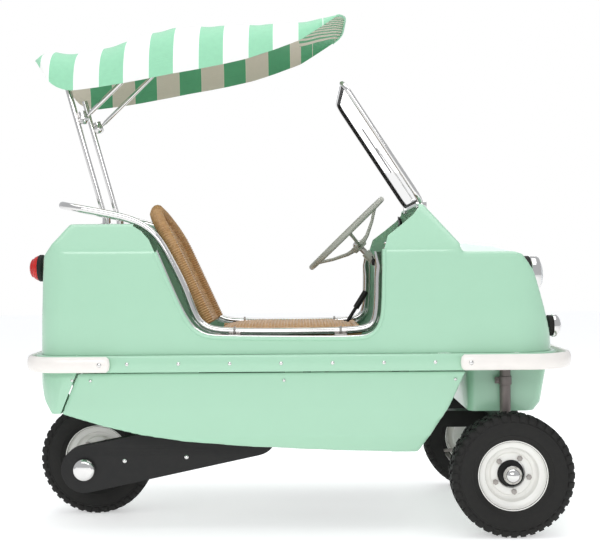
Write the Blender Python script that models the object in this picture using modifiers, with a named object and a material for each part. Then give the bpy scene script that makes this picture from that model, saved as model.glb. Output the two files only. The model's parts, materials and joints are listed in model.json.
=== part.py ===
"""A pedal-driven three-wheel runabout: two wheels steer in front, one drives behind.

Metres, +Z up, +X forwards. -Y is the driver's right, where the chain case is. The ground is z = 0.
"""
from math import atan2, cos, pi, radians, sin

import bmesh
import bpy
from mathutils import Matrix, Vector

# Overall sizes
HALF_WIDTH = 0.400
WALL = 0.006
GAP = 0.0003
FREE = 0.0010
BELT_TOP = 0.619
BELT_BOTTOM = 0.561
NOSE_X = 0.886
TAIL_X = -0.886
FRONT_END = 0.9564
NOSE_CORNER = 0.150
TAIL_CORNER = 0.110

# Wheels
WHEEL_RADIUS = 0.2075
TYRE_WIDTH = 0.100
TYRE_SIDES = 32
ARCH_GAP = 0.0525
ARCH_SIDE_GAP = 0.018
ARCH_LIFT = 0.035
RIM_RADIUS = 0.119
RIM_WIDTH = 0.062
HUB_RADIUS = 0.026
AXLE_RADIUS = 0.010
FRONT_AXLE_X = 0.722
REAR_AXLE_X = -0.749
TRACK_HALF = 0.395
KINGPIN_Y = 0.300
KINGPIN_RADIUS = 0.019
STEERING_ARM = 0.120

# Swing arm, chain case and drive
PIVOT = (-0.150, 0.330)
CASE_OUTER_Y = -0.270
CASE_INNER_Y = -0.230
CASE_RADIUS = 0.082
CASE_WALL = 0.004
ARM_INNER_Y = 0.105
ARM_THICK = 0.020
PIVOT_TUBE_RADIUS = 0.022
BRIDGE_X = -0.430
SPRING_X = -0.350
SPRING_PAD = 0.033
SPRING_WIRE = 0.004
SHELF_Z = 0.500
CHAIN_PITCH_RADIUS = 0.048
CRANK = (0.385, 0.560)
CRANK_LENGTH = 0.110
CHAINRING_RADIUS = 0.073
JACK_SPROCKET_RADIUS = 0.037
CHAIN_PLANE_Y = 0.143
CHAIN_THICK = 0.008
CRANK_ARM_Y = 0.172
PEDAL_LENGTH = 0.080

# Steering
COLUMN_HUB = (0.231, 0.992)
COLUMN_SLOPE = radians(46.0)
STEERING_WHEEL_RADIUS = 0.1925
STEERING_RIM_TUBE = 0.0105
STEERING_DISH = 0.062

# Windscreen
SCREEN_FOOT = (0.441, 1.139)
SCREEN_HEAD = (0.165, 1.563)
SCREEN_HALF = 0.262
SCREEN_TUBE = 0.010
SCREEN_CORNER = 0.045

# Canopy and its posts
CANOPY_HALF = 0.235
CANOPY_SKIN = 0.012
POST_Y = 0.145
POST_RADIUS = 0.010
POST_FOOT = (-0.687, 1.066)
POST_HEAD = (-0.824, 1.556)
CLAMP = (-0.768, 1.454)
STRUT_HEAD = (-0.628, 1.590)
STRUT_RADIUS = 0.008

# Seat
SEAT_HALF = 0.225
CUSHION_TOP = 0.712
CUSHION_BOTTOM = 0.622

PARTS = bpy.data.collections.new("pedal_car")

COLOURS = {
    "mint_paint": ((0.40, 0.67, 0.48, 1), 0.30, 0.0),
    "cream_paint": ((0.85, 0.80, 0.75, 1), 0.35, 0.0),
    "chrome": ((0.78, 0.78, 0.78, 1), 0.08, 1.0),
    "black_iron": ((0.02, 0.02, 0.02, 1), 0.50, 0.3),
    "rubber": ((0.02, 0.02, 0.02, 1), 0.75, 0.0),
    "cane": ((0.54, 0.32, 0.11, 1), 0.60, 0.0),
    "cloth": ((0.38, 0.70, 0.48, 1), 0.85, 0.0),
    "glass": ((0.80, 0.90, 0.90, 1), 0.05, 0.0),
    "red_lens": ((0.40, 0.01, 0.01, 1), 0.10, 0.0),
    "steel": ((0.40, 0.40, 0.40, 1), 0.35, 1.0),
    "grey_plastic": ((0.40, 0.40, 0.35, 1), 0.40, 0.0),
}


def clear_scene():
    for obj in list(bpy.data.objects):
        bpy.data.objects.remove(obj)
    bpy.context.scene.collection.children.link(PARTS)


def finish(obj, colour, axis_at=None):
    """Gives a piece its material and, where it moves, an origin on its joint's axis."""
    base, rough, metal = COLOURS[colour]
    material = bpy.data.materials.new(obj.name + "_" + colour)
    material.use_nodes = True
    shader = material.node_tree.nodes["Principled BSDF"]
    shader.inputs["Base Color"].default_value = base
    shader.inputs["Roughness"].default_value = rough
    shader.inputs["Metallic"].default_value = metal
    obj.data.materials.clear()
    obj.data.materials.append(material)
    for collection in list(obj.users_collection):
        collection.objects.unlink(obj)
    PARTS.objects.link(obj)
    if axis_at is not None:
        obj.data.transform(Matrix.Translation(-Vector(axis_at)))
        obj.location = axis_at
        bpy.context.view_layer.update()
    return obj


def mesh_object(name, bm):
    mesh = bpy.data.meshes.new(name)
    bm.to_mesh(mesh)
    bm.free()
    obj = bpy.data.objects.new(name, mesh)
    bpy.context.scene.collection.objects.link(obj)
    return obj


def box(name, low, high):
    """A box between two corners."""
    bm = bmesh.new()
    bmesh.ops.create_cube(bm, size=1.0)
    size = [h - l for l, h in zip(low, high)]
    middle = [(h + l) / 2 for l, h in zip(low, high)]
    bmesh.ops.scale(bm, vec=size, verts=bm.verts)
    bmesh.ops.translate(bm, vec=middle, verts=bm.verts)
    return mesh_object(name, bm)


def rod(name, start, end, radius, sides=16, end_radius=None):
    """A round bar or cone between two points."""
    start = Vector(start)
    end = Vector(end)
    along = end - start
    bm = bmesh.new()
    bmesh.ops.create_cone(
        bm, cap_ends=True, segments=sides, radius1=radius,
        radius2=radius if end_radius is None else end_radius, depth=along.length,
    )
    turn = Vector((0, 0, 1)).rotation_difference(along).to_matrix().to_4x4()
    bmesh.ops.transform(bm, matrix=Matrix.Translation((start + end) / 2) @ turn, verts=bm.verts)
    return mesh_object(name, bm)


def slab(name, outline, low_y, high_y):
    """An outline in X and Z, given thickness along Y."""
    bm = bmesh.new()
    corners = [bm.verts.new((x, low_y, z)) for x, z in outline]
    face = bm.faces.new(corners)
    made = bmesh.ops.extrude_face_region(bm, geom=[face])
    moved = [item for item in made["geom"] if isinstance(item, bmesh.types.BMVert)]
    bmesh.ops.translate(bm, vec=(0, high_y - low_y, 0), verts=moved)
    bmesh.ops.recalc_face_normals(bm, faces=bm.faces)
    return mesh_object(name, bm)


def block(name, outline, low_z, high_z):
    """An outline in X and Y, given height along Z."""
    obj = slab(name, outline, low_z, high_z)
    obj.data.transform(Matrix(((1, 0, 0, 0), (0, 0, 1, 0), (0, 1, 0, 0), (0, 0, 0, 1))))
    obj.data.flip_normals()
    return obj


def end_block(name, outline, low_x, high_x):
    """An outline in Y and Z, given length along X."""
    obj = slab(name, outline, low_x, high_x)
    obj.data.transform(Matrix(((0, 1, 0, 0), (1, 0, 0, 0), (0, 0, 1, 0), (0, 0, 0, 1))))
    obj.data.flip_normals()
    return obj


def combine(target, others, operation):
    """Booleans the other solids into the target, then drops them."""
    for other in others:
        modifier = target.modifiers.new("combine", "BOOLEAN")
        modifier.operation = operation
        modifier.solver = "EXACT"
        modifier.object = other
        bpy.context.view_layer.update()
        solved = target.evaluated_get(bpy.context.evaluated_depsgraph_get())
        mesh = bpy.data.meshes.new_from_object(solved)
        target.modifiers.remove(modifier)
        target.data = mesh
        bpy.data.objects.remove(other)
    return target


def union(target, *others):
    return combine(target, others, "UNION")


def cut(target, *others):
    return combine(target, others, "DIFFERENCE")


def common(target, *others):
    return combine(target, others, "INTERSECT")


def arc(centre, radius, start, end, count):
    """Points on an arc, angles in degrees."""
    return [
        (centre[0] + radius * cos(radians(start + (end - start) * i / count)),
         centre[1] + radius * sin(radians(start + (end - start) * i / count)))
        for i in range(count + 1)
    ]


def inset(outline, distance):
    """Moves each side of a counter-clockwise outline inwards."""
    moved = []
    count = len(outline)
    for i in range(count):
        before = Vector(outline[i]) - Vector(outline[i - 1])
        after = Vector(outline[(i + 1) % count]) - Vector(outline[i])
        first = Vector((-before.y, before.x)).normalized()
        second = Vector((-after.y, after.x)).normalized()
        step = (first + second) * (distance / (1 + first.dot(second)))
        moved.append((outline[i][0] + step.x, outline[i][1] + step.y))
    return moved


def tube(name, points, radius, closed=False, sides=2):
    """A round tube along points, made a closed mesh."""
    curve = bpy.data.curves.new(name, "CURVE")
    curve.dimensions = "3D"
    curve.bevel_depth = radius
    curve.bevel_resolution = sides
    curve.use_fill_caps = not closed
    spline = curve.splines.new("POLY")
    spline.points.add(len(points) - 1)
    for point, place in zip(spline.points, points):
        point.co = (*place, 1)
    spline.use_cyclic_u = closed
    guide = bpy.data.objects.new(name + "_curve", curve)
    bpy.context.scene.collection.objects.link(guide)
    bpy.context.view_layer.update()
    solved = guide.evaluated_get(bpy.context.evaluated_depsgraph_get())
    mesh = bpy.data.meshes.new_from_object(solved)
    bpy.data.objects.remove(guide)
    bm = bmesh.new()
    bm.from_mesh(mesh)
    bmesh.ops.remove_doubles(bm, verts=bm.verts, dist=0.00005)
    bmesh.ops.recalc_face_normals(bm, faces=bm.faces)
    return mesh_object(name, bm)


def turned(name, profile, centre, axis, sides=32):
    """Screws a profile of (radius, height) points about an axis through the centre."""
    bm = bmesh.new()
    line = [bm.verts.new((radius, 0, height)) for radius, height in reversed(profile)]
    for first, second in zip(line, line[1:]):
        bm.edges.new((first, second))
    if profile[0][0] > 0:
        bm.edges.new((line[-1], line[0]))
    guide = mesh_object(name + "_profile", bm)
    screw = guide.modifiers.new("turn", "SCREW")
    screw.steps = sides
    screw.render_steps = sides
    screw.use_merge_vertices = True
    screw.merge_threshold = 0.00005
    bpy.context.view_layer.update()
    solved = guide.evaluated_get(bpy.context.evaluated_depsgraph_get())
    mesh = bpy.data.meshes.new_from_object(solved)
    bpy.data.objects.remove(guide)
    bm = bmesh.new()
    bm.from_mesh(mesh)
    bmesh.ops.remove_doubles(bm, verts=bm.verts, dist=0.00005)
    bmesh.ops.recalc_face_normals(bm, faces=bm.faces)
    turn = Vector((0, 0, 1)).rotation_difference(Vector(axis)).to_matrix().to_4x4()
    bmesh.ops.transform(bm, matrix=Matrix.Translation(centre) @ turn, verts=bm.verts)
    return mesh_object(name, bm)


def smooth(obj, angle=40):
    obj.data.shade_smooth()
    obj.data.set_sharp_from_angle(angle=radians(angle))
    return obj


def curve_through(points, steps=5):
    """A smooth curve through the points (Catmull-Rom)."""
    result = []
    count = len(points)
    for i in range(count - 1):
        before = Vector(points[max(i - 1, 0)])
        start = Vector(points[i])
        end = Vector(points[i + 1])
        after = Vector(points[min(i + 2, count - 1)])
        for step in range(steps):
            t = step / steps
            result.append(0.5 * (
                2 * start + (end - before) * t
                + (2 * before - 5 * start + 4 * end - after) * t ** 2
                + (3 * start - before - 3 * end + after) * t ** 3
            ))
    result.append(Vector(points[-1]))
    return [tuple(point) for point in result]


def plan_outline(distance, nose=NOSE_X, tail=TAIL_X, half=HALF_WIDTH):
    """The body seen from above, with round corners, inset by a distance."""
    corners = (
        arc((nose - NOSE_CORNER, -half + NOSE_CORNER), NOSE_CORNER, -90, 0, 6)
        + arc((nose - NOSE_CORNER, half - NOSE_CORNER), NOSE_CORNER, 0, 90, 6)
        + arc((tail + TAIL_CORNER, half - TAIL_CORNER), TAIL_CORNER, 90, 180, 5)
        + arc((tail + TAIL_CORNER, -half + TAIL_CORNER), TAIL_CORNER, 180, 270, 5)
    )
    return inset(corners, distance)


def ring(name, outer, inner, low_z, high_z):
    """A band between two plan outlines."""
    return cut(block(name, outer, low_z, high_z), block("hollow", inner, low_z - 0.1, high_z + 0.1))


# Body

SHOULDER = HALF_WIDTH - 0.028
DECK_HALF = HALF_WIDTH - 0.055
COWL_HALF = HALF_WIDTH - 0.110
KEEL_HALF = HALF_WIDTH - 0.100
BILGE_HALF = HALF_WIDTH - 0.045
TUCK_HALF = HALF_WIDTH - 0.015
FLANK_HALF = HALF_WIDTH - 0.005
UPPER_SIDE = [
    (TAIL_X, BELT_TOP), (NOSE_X, BELT_TOP), (0.873, 0.694), (0.859, 0.751), (0.833, 0.818), (0.812, 0.880),
    (0.792, 0.935), (0.730, 0.968), (0.671, 0.982), (0.612, 0.990), (0.557, 0.994), (0.500, 1.050),
    (0.440, 1.128), (0.395, 1.090), (-0.560, 1.062), (-0.722, 1.066), (-0.780, 1.064), (-0.838, 1.010),
    (-0.866, 0.964), (-0.875, 0.811),
]
UPPER_END = [
    (-HALF_WIDTH, BELT_TOP), (HALF_WIDTH, BELT_TOP), (HALF_WIDTH, 0.975), (SHOULDER, 1.040), (DECK_HALF, 1.066),
    (COWL_HALF, 1.140), (-COWL_HALF, 1.140), (-DECK_HALF, 1.066), (-SHOULDER, 1.040), (-HALF_WIDTH, 0.975),
]
COCKPIT = (
    [(-0.560, 1.300), (-0.560, 1.055), (-0.532, 1.037), (-0.499, 1.004), (-0.480, 0.966), (-0.431, 0.848),
     (-0.397, 0.772), (-0.369, 0.720), (-0.340, 0.692), (-0.307, 0.678), (-0.269, 0.673)]
    + [(0.201, 0.665), (0.239, 0.672), (0.272, 0.696), (0.293, 0.748), (0.296, 0.972), (0.303, 1.014)]
    + [(0.375, 1.066), (0.420, 1.106), (0.420, 1.300)]
)
LOWER_SIDE = [
    (-0.798, 0.419), (-0.661, 0.375), (-0.541, 0.346), (-0.385, 0.320), (-0.189, 0.300), (0.017, 0.293),
    (0.142, 0.284), (0.336, 0.276), (0.412, 0.275), (0.515, 0.435), (0.575, BELT_BOTTOM - GAP),
    (-0.742, BELT_BOTTOM - GAP), (-0.774, 0.487),
]
LOWER_END = [
    (-KEEL_HALF, 0.250), (KEEL_HALF, 0.250), (BILGE_HALF, 0.285), (TUCK_HALF, 0.350), (FLANK_HALF, 0.440),
    (HALF_WIDTH - 0.002, BELT_BOTTOM), (-HALF_WIDTH + 0.002, BELT_BOTTOM), (-FLANK_HALF, 0.440),
    (-TUCK_HALF, 0.350), (-BILGE_HALF, 0.285),
]


def upper_body():
    body = slab("upper_body", UPPER_SIDE, -HALF_WIDTH - 0.05, HALF_WIDTH + 0.05)
    common(body, end_block("ends", UPPER_END, -1.1, 1.1))
    common(body, block("plan", plan_outline(0), 0.3, 1.5))
    hollow = slab("hollow", [(x, z - 0.02 if z < 0.62 else z) for x, z in inset(UPPER_SIDE, WALL)], -0.6, 0.6)
    low = BELT_TOP - 0.05
    ends = [(y, low if z < 0.65 else z) for y, z in inset(UPPER_END, WALL)]
    common(hollow, end_block("ends", ends, -1.1, 1.1))
    common(hollow, block("plan", plan_outline(WALL), 0.3, 1.5))
    under = ring_filler(WALL)
    cut(body, hollow, under, slab("cockpit", COCKPIT, -0.6, 0.6))
    x, y, z, radius = LAMPS["headlamp"]
    for side in (-1, 1):
        cut(body, rod("lamp_hole", (0.70, side * y, z), (1.0, side * y, z), radius + FREE, 32))
    finish(body, "mint_paint")


def ring_filler(wall):
    """The open mouth under the upper body."""
    return block("mouth", plan_outline(wall), BELT_TOP - 0.05, BELT_TOP + wall + 0.004)


def lower_body():
    body = slab("lower_body", LOWER_SIDE, -HALF_WIDTH, HALF_WIDTH)
    common(body, end_block("ends", LOWER_END, -1.1, 1.1))
    common(body, block("plan", plan_outline(0), 0.1, 1.5))
    low = 0.1
    high = BELT_BOTTOM + 0.05
    room = [(-0.9, low), (0.395, low), (0.412, 0.300), (0.500, 0.437), (0.555, high), (-0.9, high)]
    hollow = slab("hollow", room, -0.6, 0.6)
    half_room = [(BILGE_HALF - 0.010, 0.292), (TUCK_HALF - 0.012, 0.352), (FLANK_HALF - 0.012, 0.441)]
    half_room += [(HALF_WIDTH - 0.014, high)]
    ends = [(-BILGE_HALF + 0.010, low), (BILGE_HALF - 0.010, low)] + half_room
    ends += [(-y, z) for y, z in reversed(half_room)]
    common(hollow, end_block("ends", ends, -1.1, 1.1))
    tunnel = box("tunnel", (0.3, -0.035, 0.305), (0.6, 0.035, 0.375))
    bearings = box("tunnel", (0.3, -0.108, 0.305), (0.455, 0.108, 0.375))
    cut(body, hollow, tunnel, bearings)
    finish(body, "mint_paint")


def belt_and_apron():
    proud = 0.020
    band = ring("belt_band", plan_outline(-proud), plan_outline(WALL), BELT_BOTTOM, BELT_TOP - GAP)
    finish(band, "mint_paint")
    outline = [
        (TAIL_X + 0.002, BELT_BOTTOM - GAP), (TAIL_X + 0.008, 0.513), (TAIL_X + 0.023, 0.464),
        (TAIL_X + 0.052, 0.419), (-0.7985, 0.4195),
        (-0.7745, 0.4875), (-0.7425, BELT_BOTTOM - GAP),
    ]
    apron = slab("tail_apron", outline, -HALF_WIDTH, HALF_WIDTH)
    common(apron, block("plan", plan_outline(0), 0.1, 1.5))
    hollow = block("hollow", plan_outline(WALL), 0.3, 0.7)
    inside = [(TAIL_X + 0.014, 0.7), (TAIL_X + 0.021, 0.52), (TAIL_X + 0.039, 0.46), (TAIL_X + 0.059, 0.4)]
    inside += [(-0.6, 0.4), (-0.6, 0.7)]
    common(hollow, slab("side", inside, -0.6, 0.6))
    half_arch = TYRE_WIDTH / 2 + ARCH_SIDE_GAP
    low = (REAR_AXLE_X, -half_arch, WHEEL_RADIUS + ARCH_LIFT)
    high = (REAR_AXLE_X, half_arch, WHEEL_RADIUS + ARCH_LIFT)
    cut(apron, hollow, rod("arch", low, high, WHEEL_RADIUS + ARCH_GAP, 36))
    finish(apron, "mint_paint")


def nose_pan():
    outline = [(0.600, 0.403), (0.832, 0.405), (0.855, 0.432), (NOSE_X - 0.008, BELT_BOTTOM - GAP)]
    outline += [(0.600, BELT_BOTTOM - GAP)]
    pan = slab("nose_pan", outline, -0.270, 0.270)
    room = [(0.59, 0.403 + WALL), (0.826, 0.403 + WALL), (0.848, 0.434), (0.895, 0.7), (0.59, 0.7)]
    cut(pan, slab("room", room, -0.270 + WALL, 0.270 - WALL))
    finish(pan, "mint_paint")


def bumper(name, end_x, tip_x, z, corner, colour):
    """A deep rounded bar that wraps one end of the body."""
    side = HALF_WIDTH + 0.0205
    forward = 1 if tip_x > end_x else -1
    inner_tip = tip_x - forward * 0.022
    path = [(end_x, side + 0.011)]
    centre = (inner_tip + forward * 0.011 - forward * corner, side + 0.011 - corner)
    path += [(centre[0] + forward * corner * sin(pi / 2 * i / 6), centre[1] + corner * cos(pi / 2 * i / 6))
             for i in range(7)]
    path += [(x, -y) for x, y in reversed(path)]
    half_high, half_deep = 0.027, 0.0105
    section = [(half_deep * cos(2 * pi * i / 10), half_high * sin(2 * pi * i / 10)) for i in range(10)]
    bm = bmesh.new()
    rings = []
    for i, (x, y) in enumerate(path):
        ahead = Vector(path[min(i + 1, len(path) - 1)]) - Vector(path[max(i - 1, 0)])
        out = Vector((-ahead.y, ahead.x)).normalized()
        rings.append([bm.verts.new((x + out.x * a, y + out.y * a, z + b)) for a, b in section])
    for first, second in zip(rings, rings[1:]):
        for i in range(10):
            bm.faces.new((first[i], first[(i + 1) % 10], second[(i + 1) % 10], second[i]))
    bm.faces.new(rings[0])
    bm.faces.new(rings[-1])
    bmesh.ops.recalc_face_normals(bm, faces=bm.faces)
    finish(smooth(mesh_object(name, bm)), colour)


def cockpit_rail():
    """Chrome tube: across behind the seat, down and along each side, up to the cowl."""
    side = [
        (-0.740, 1.119), (-0.649, 1.101), (-0.577, 1.085), (-0.520, 1.058), (-0.474, 1.012), (-0.439, 0.948),
        (-0.403, 0.880), (-0.375, 0.815), (-0.350, 0.735), (-0.310, 0.702), (-0.250, 0.691), (0.000, 0.690),
        (0.220, 0.692), (0.262, 0.708), (0.279, 0.750), (0.281, 0.850), (0.281, 0.965),
    ]
    half = 0.330
    near = [(x, -half, z) for x, z in side]
    corner = [(-0.785, -half + 0.012, 1.127), (-0.815, -half + 0.045, 1.134), (-0.826, -half + 0.085, 1.137)]
    near_points = list(reversed(near)) + corner
    far_points = [(x, -y, z) for x, y, z in reversed(near_points)]
    finish(smooth(tube("cockpit_rail", near_points + far_points, 0.0125)), "chrome")


def frame_pieces():
    frame = box("chassis_frame", (-0.060, -0.030, 0.310), (0.690, 0.030, 0.370))
    cross = box("cross", (-0.110, -0.120, 0.305), (-0.060 + 0.02, 0.120, 0.375))
    front = box("front", (FRONT_AXLE_X - 0.025, -0.280, 0.330), (FRONT_AXLE_X + 0.025, 0.280, 0.370))
    brace = box("brace", (0.660, -0.030, 0.310), (FRONT_AXLE_X, 0.030, 0.370))
    union(frame, cross, front, brace)
    for side in (-1, 1):
        y = side * 0.085
        ear = slab("ear", [(-0.185, 0.295), (-0.070, 0.305), (-0.070, 0.375), (-0.185, 0.365)], y - 0.01, y + 0.01)
        union(frame, ear)
    mast = box("mast", (-0.080, 0.080, 0.360), (-0.050, 0.132, SHELF_Z + 0.012))
    shelf = box("shelf", (SPRING_X - 0.030, 0.080, SHELF_Z), (-0.050, 0.132, SHELF_Z + 0.012))
    union(frame, mast, shelf)
    for side in (-1, 1):
        post = box("post", (0.020, side * 0.028 - 0.012, 0.36), (0.050, side * 0.028 + 0.012, 0.5847))
        union(frame, post)
        arm = box("arm", (0.330, min(side * 0.02, side * 0.100), 0.320), (0.440, max(side * 0.02, side * 0.100), 0.345))
        bearing = box("bearing", (0.362, side * 0.085 - 0.015, 0.33), (0.408, side * 0.085 + 0.015, 0.585))
        union(frame, arm, bearing)
    cut(frame, rod("bore", (PIVOT[0], -0.2, PIVOT[1]), (PIVOT[0], 0.2, PIVOT[1]), PIVOT_TUBE_RADIUS + FREE, 20))
    cut(frame, rod("bore", (CRANK[0], -0.2, CRANK[1]), (CRANK[0], 0.2, CRANK[1]), AXLE_RADIUS + FREE, 20))
    finish(frame, "black_iron")
    for name, side in (("left", 1), ("right", -1)):
        beam = rod("kingpin_pillar_" + name, (FRONT_AXLE_X, side * KINGPIN_Y, 0.270),
                   (FRONT_AXLE_X, side * KINGPIN_Y, BELT_BOTTOM - 0.004), KINGPIN_RADIUS)
        lug = box("lug", (FRONT_AXLE_X - 0.02, min(side * (0.28 + GAP), side * 0.295), 0.335),
                  (FRONT_AXLE_X + 0.02, max(side * (0.28 + GAP), side * 0.295), 0.365))
        union(beam, lug)
        finish(smooth(beam), "steel")
    floor = box("floor_pan", (-0.030, -0.340, 0.3715), (0.350, 0.340, 0.3755))
    cut(floor, box("slot", (0.010, -0.050, 0.3), (0.060, 0.050, 0.4)))
    cut(floor, box("chain_slot", (-0.1, CHAIN_PLANE_Y - 0.03, 0.3), (0.13, CHAIN_PLANE_Y + 0.03, 0.6)))
    finish(floor, "black_iron")
    seat_pan = box("seat_pan", (-0.280, -0.330, 0.585), (0.190, 0.330, 0.600))
    legs = box("legs", (-0.270, -0.200, 0.595), (-0.250, 0.200, CUSHION_BOTTOM - GAP))
    front = box("front", (0.110, -0.200, 0.595), (0.130, 0.200, CUSHION_BOTTOM - GAP))
    union(seat_pan, legs, front)
    finish(seat_pan, "black_iron")
    dash = slab("dash_panel", [(0.345, 0.960), (0.357, 0.957), (0.391, 1.040), (0.380, 1.040)], -0.350, 0.350)
    finish(dash, "mint_paint")


# Windscreen

def screen_point(along, across, lift=0.0):
    """A place on the screen's plane: along runs 0 at the foot to 1 at the head."""
    foot = Vector((SCREEN_FOOT[0], 0, SCREEN_FOOT[1]))
    head = Vector((SCREEN_HEAD[0], 0, SCREEN_HEAD[1]))
    normal = Vector((head.z - foot.z, 0, foot.x - head.x)).normalized()
    place = foot + (head - foot) * along + normal * lift
    return (place.x, across, place.z)


def windscreen():
    length = (Vector(SCREEN_HEAD) - Vector(SCREEN_FOOT)).length

    def loop(shrink, count=5):
        half = SCREEN_HALF - shrink
        edge = shrink / length
        radius = SCREEN_CORNER - shrink * 0.5
        share = radius / length
        flat = []
        corners = [(half - radius, edge + share, -90), (half - radius, 1 - edge - share, 0),
                   (-half + radius, 1 - edge - share, 90), (-half + radius, edge + share, 180)]
        for across, along, start in corners:
            for i in range(count + 1):
                turn = radians(start + 90 * i / count)
                flat.append((along + share * sin(turn), across + radius * cos(turn)))
        return flat

    points = [screen_point(along, across) for along, across in loop(0.0)]
    frame = tube("windscreen_frame", points, SCREEN_TUBE, closed=True)
    finish(smooth(frame), "chrome")
    bm = bmesh.new()
    flat = loop(SCREEN_TUBE + 0.0015)
    back = [bm.verts.new(screen_point(along, across, -0.0025)) for along, across in flat]
    front = [bm.verts.new(screen_point(along, across, 0.0025)) for along, across in flat]
    bm.faces.new(back)
    bm.faces.new(front)
    for i in range(len(flat)):
        j = (i + 1) % len(flat)
        bm.faces.new((back[i], back[j], front[j], front[i]))
    bmesh.ops.recalc_face_normals(bm, faces=bm.faces)
    finish(mesh_object("windscreen_glass", bm), "glass")
    foot = screen_point(0.03, 0.10, 0.022)
    tip = screen_point(0.72, 0.10, 0.012)
    bar = rod("wiper_arm", foot, tip, 0.004, 10)
    hub_start = screen_point(0.03, 0.10, 0.014)
    hub_end = screen_point(0.03, 0.10, 0.030)
    union(bar, rod("hub", hub_start, hub_end, 0.009, 16))
    finish(bar, "chrome", foot)


# Lamps

LAMPS = {
    "headlamp": (0.785, 0.220, 0.880, 0.068),
    "side_lamp": (0.876, 0.250, 0.700, 0.040),
    "tail_lamp": (TAIL_X - 0.002, 0.265, 0.915, 0.047),
}


def lamps():
    for name, side in (("left", 1), ("right", -1)):
        x, y, z, radius = LAMPS["headlamp"]
        shell = [(0, 0), (radius - 0.012, 0), (radius, 0.012), (radius, 0.055), (radius - 0.010, 0.062),
                 (radius - 0.010, 0.020), (0, 0.012)]
        place = (x + 0.010, side * y, z)
        finish(smooth(turned("headlamp_shell_" + name, shell, place, (1, 0, 0), 20)), "chrome")
        glass = radius - 0.0105
        lens = [(0, 0.030), (glass, 0.030), (glass, 0.056), (glass * 0.75, 0.068), (glass * 0.4, 0.074), (0, 0.076)]
        finish(smooth(turned("headlamp_lens_" + name, lens, place, (1, 0, 0), 20)), "glass")
        x, y, z, radius = LAMPS["side_lamp"]
        dome = [(0, 0), (radius, 0), (radius, 0.008)] + [
            (radius * 0.9 * cos(radians(a)), 0.010 + 0.038 * sin(radians(a))) for a in (0, 20, 40, 60, 78)
        ] + [(0, 0.048)]
        finish(smooth(turned("side_lamp_" + name, dome, (x + 0.004, side * y, z), (1, 0, 0), 16)), "chrome")
        x, y, z, radius = LAMPS["tail_lamp"]
        lens = [(0, 0), (radius, 0), (radius, 0.008), (radius * 0.85, 0.012), (radius * 0.62, 0.040), (0, 0.046)]
        finish(turned("tail_lamp_" + name, lens, (x, side * y, z), (-1, 0, 0), 10), "red_lens")


# Steering

def column_point(distance, across=0.0, up=0.0):
    """A place on the steering column, measured down it from the hub."""
    return (
        COLUMN_HUB[0] + distance * cos(COLUMN_SLOPE) + up * sin(COLUMN_SLOPE), across,
        COLUMN_HUB[1] - distance * sin(COLUMN_SLOPE) + up * cos(COLUMN_SLOPE),
    )


def steering():
    axis = Vector((-cos(COLUMN_SLOPE), 0, sin(COLUMN_SLOPE)))
    shaft = rod("steering_shaft", column_point(0.020), column_point(0.640), 0.0075, 16)
    union(shaft, rod("collar", column_point(0.020), column_point(0.038), 0.011, 16))
    finish(smooth(shaft), "steel", column_point(0))
    column = rod("column_tube", column_point(0.045), column_point(0.300), 0.0125, 24)
    cut(column, rod("bore", column_point(-0.1), column_point(0.5), 0.0075 + FREE, 16))
    clip = box("clip", (column_point(0.19)[0] - 0.012, -0.016, column_point(0.19)[2]),
               (column_point(0.19)[0] + 0.012, 0.016, column_point(0.19)[2] + 0.020))
    cut(clip, rod("bore", column_point(-0.1), column_point(0.5), 0.010, 16))
    union(column, clip)
    finish(smooth(column), "steel")
    wheel = turned("steering_wheel", [
        (STEERING_WHEEL_RADIUS - STEERING_RIM_TUBE + STEERING_RIM_TUBE * cos(2 * pi * i / 8),
         STEERING_RIM_TUBE * sin(2 * pi * i / 8)) for i in range(8)
    ], (0, 0, STEERING_DISH), (0, 0, 1), 28)
    hub = turned("hub", [(0, -0.019), (0.024, -0.019), (0.030, -0.008), (0.030, 0.006), (0.0205, 0.006),
                         (0.0205, -0.006), (0, -0.006)], (0, 0, 0), (0, 0, 1), 24)
    for i in range(3):
        turn = radians(90 + 120 * i)
        inner = (0.026 * cos(turn), 0.026 * sin(turn), -0.004)
        reach = STEERING_WHEEL_RADIUS - 1.4 * STEERING_RIM_TUBE
        outer = (reach * cos(turn), reach * sin(turn), STEERING_DISH - 0.003)
        union(hub, rod("spoke", inner, outer, 0.0055, 10))
    union(wheel, hub)
    button = turned("horn_button", [(0, 0.0005), (0.019, 0.0005), (0.019, 0.008), (0.014, 0.014), (0.007, 0.017),
                                    (0, 0.018)], (0, 0, 0), (0, 0, 1), 24)
    turn = Matrix((
        (-sin(COLUMN_SLOPE), 0, axis.x, COLUMN_HUB[0]),
        (0, -1, 0, 0),
        (-cos(COLUMN_SLOPE), 0, axis.z, COLUMN_HUB[1]),
        (0, 0, 0, 1),
    ))
    wheel.data.transform(turn)
    button.data.transform(turn)
    finish(smooth(wheel), "grey_plastic", column_point(0))
    finish(smooth(button), "chrome", column_point(0))


# Seat

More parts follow.
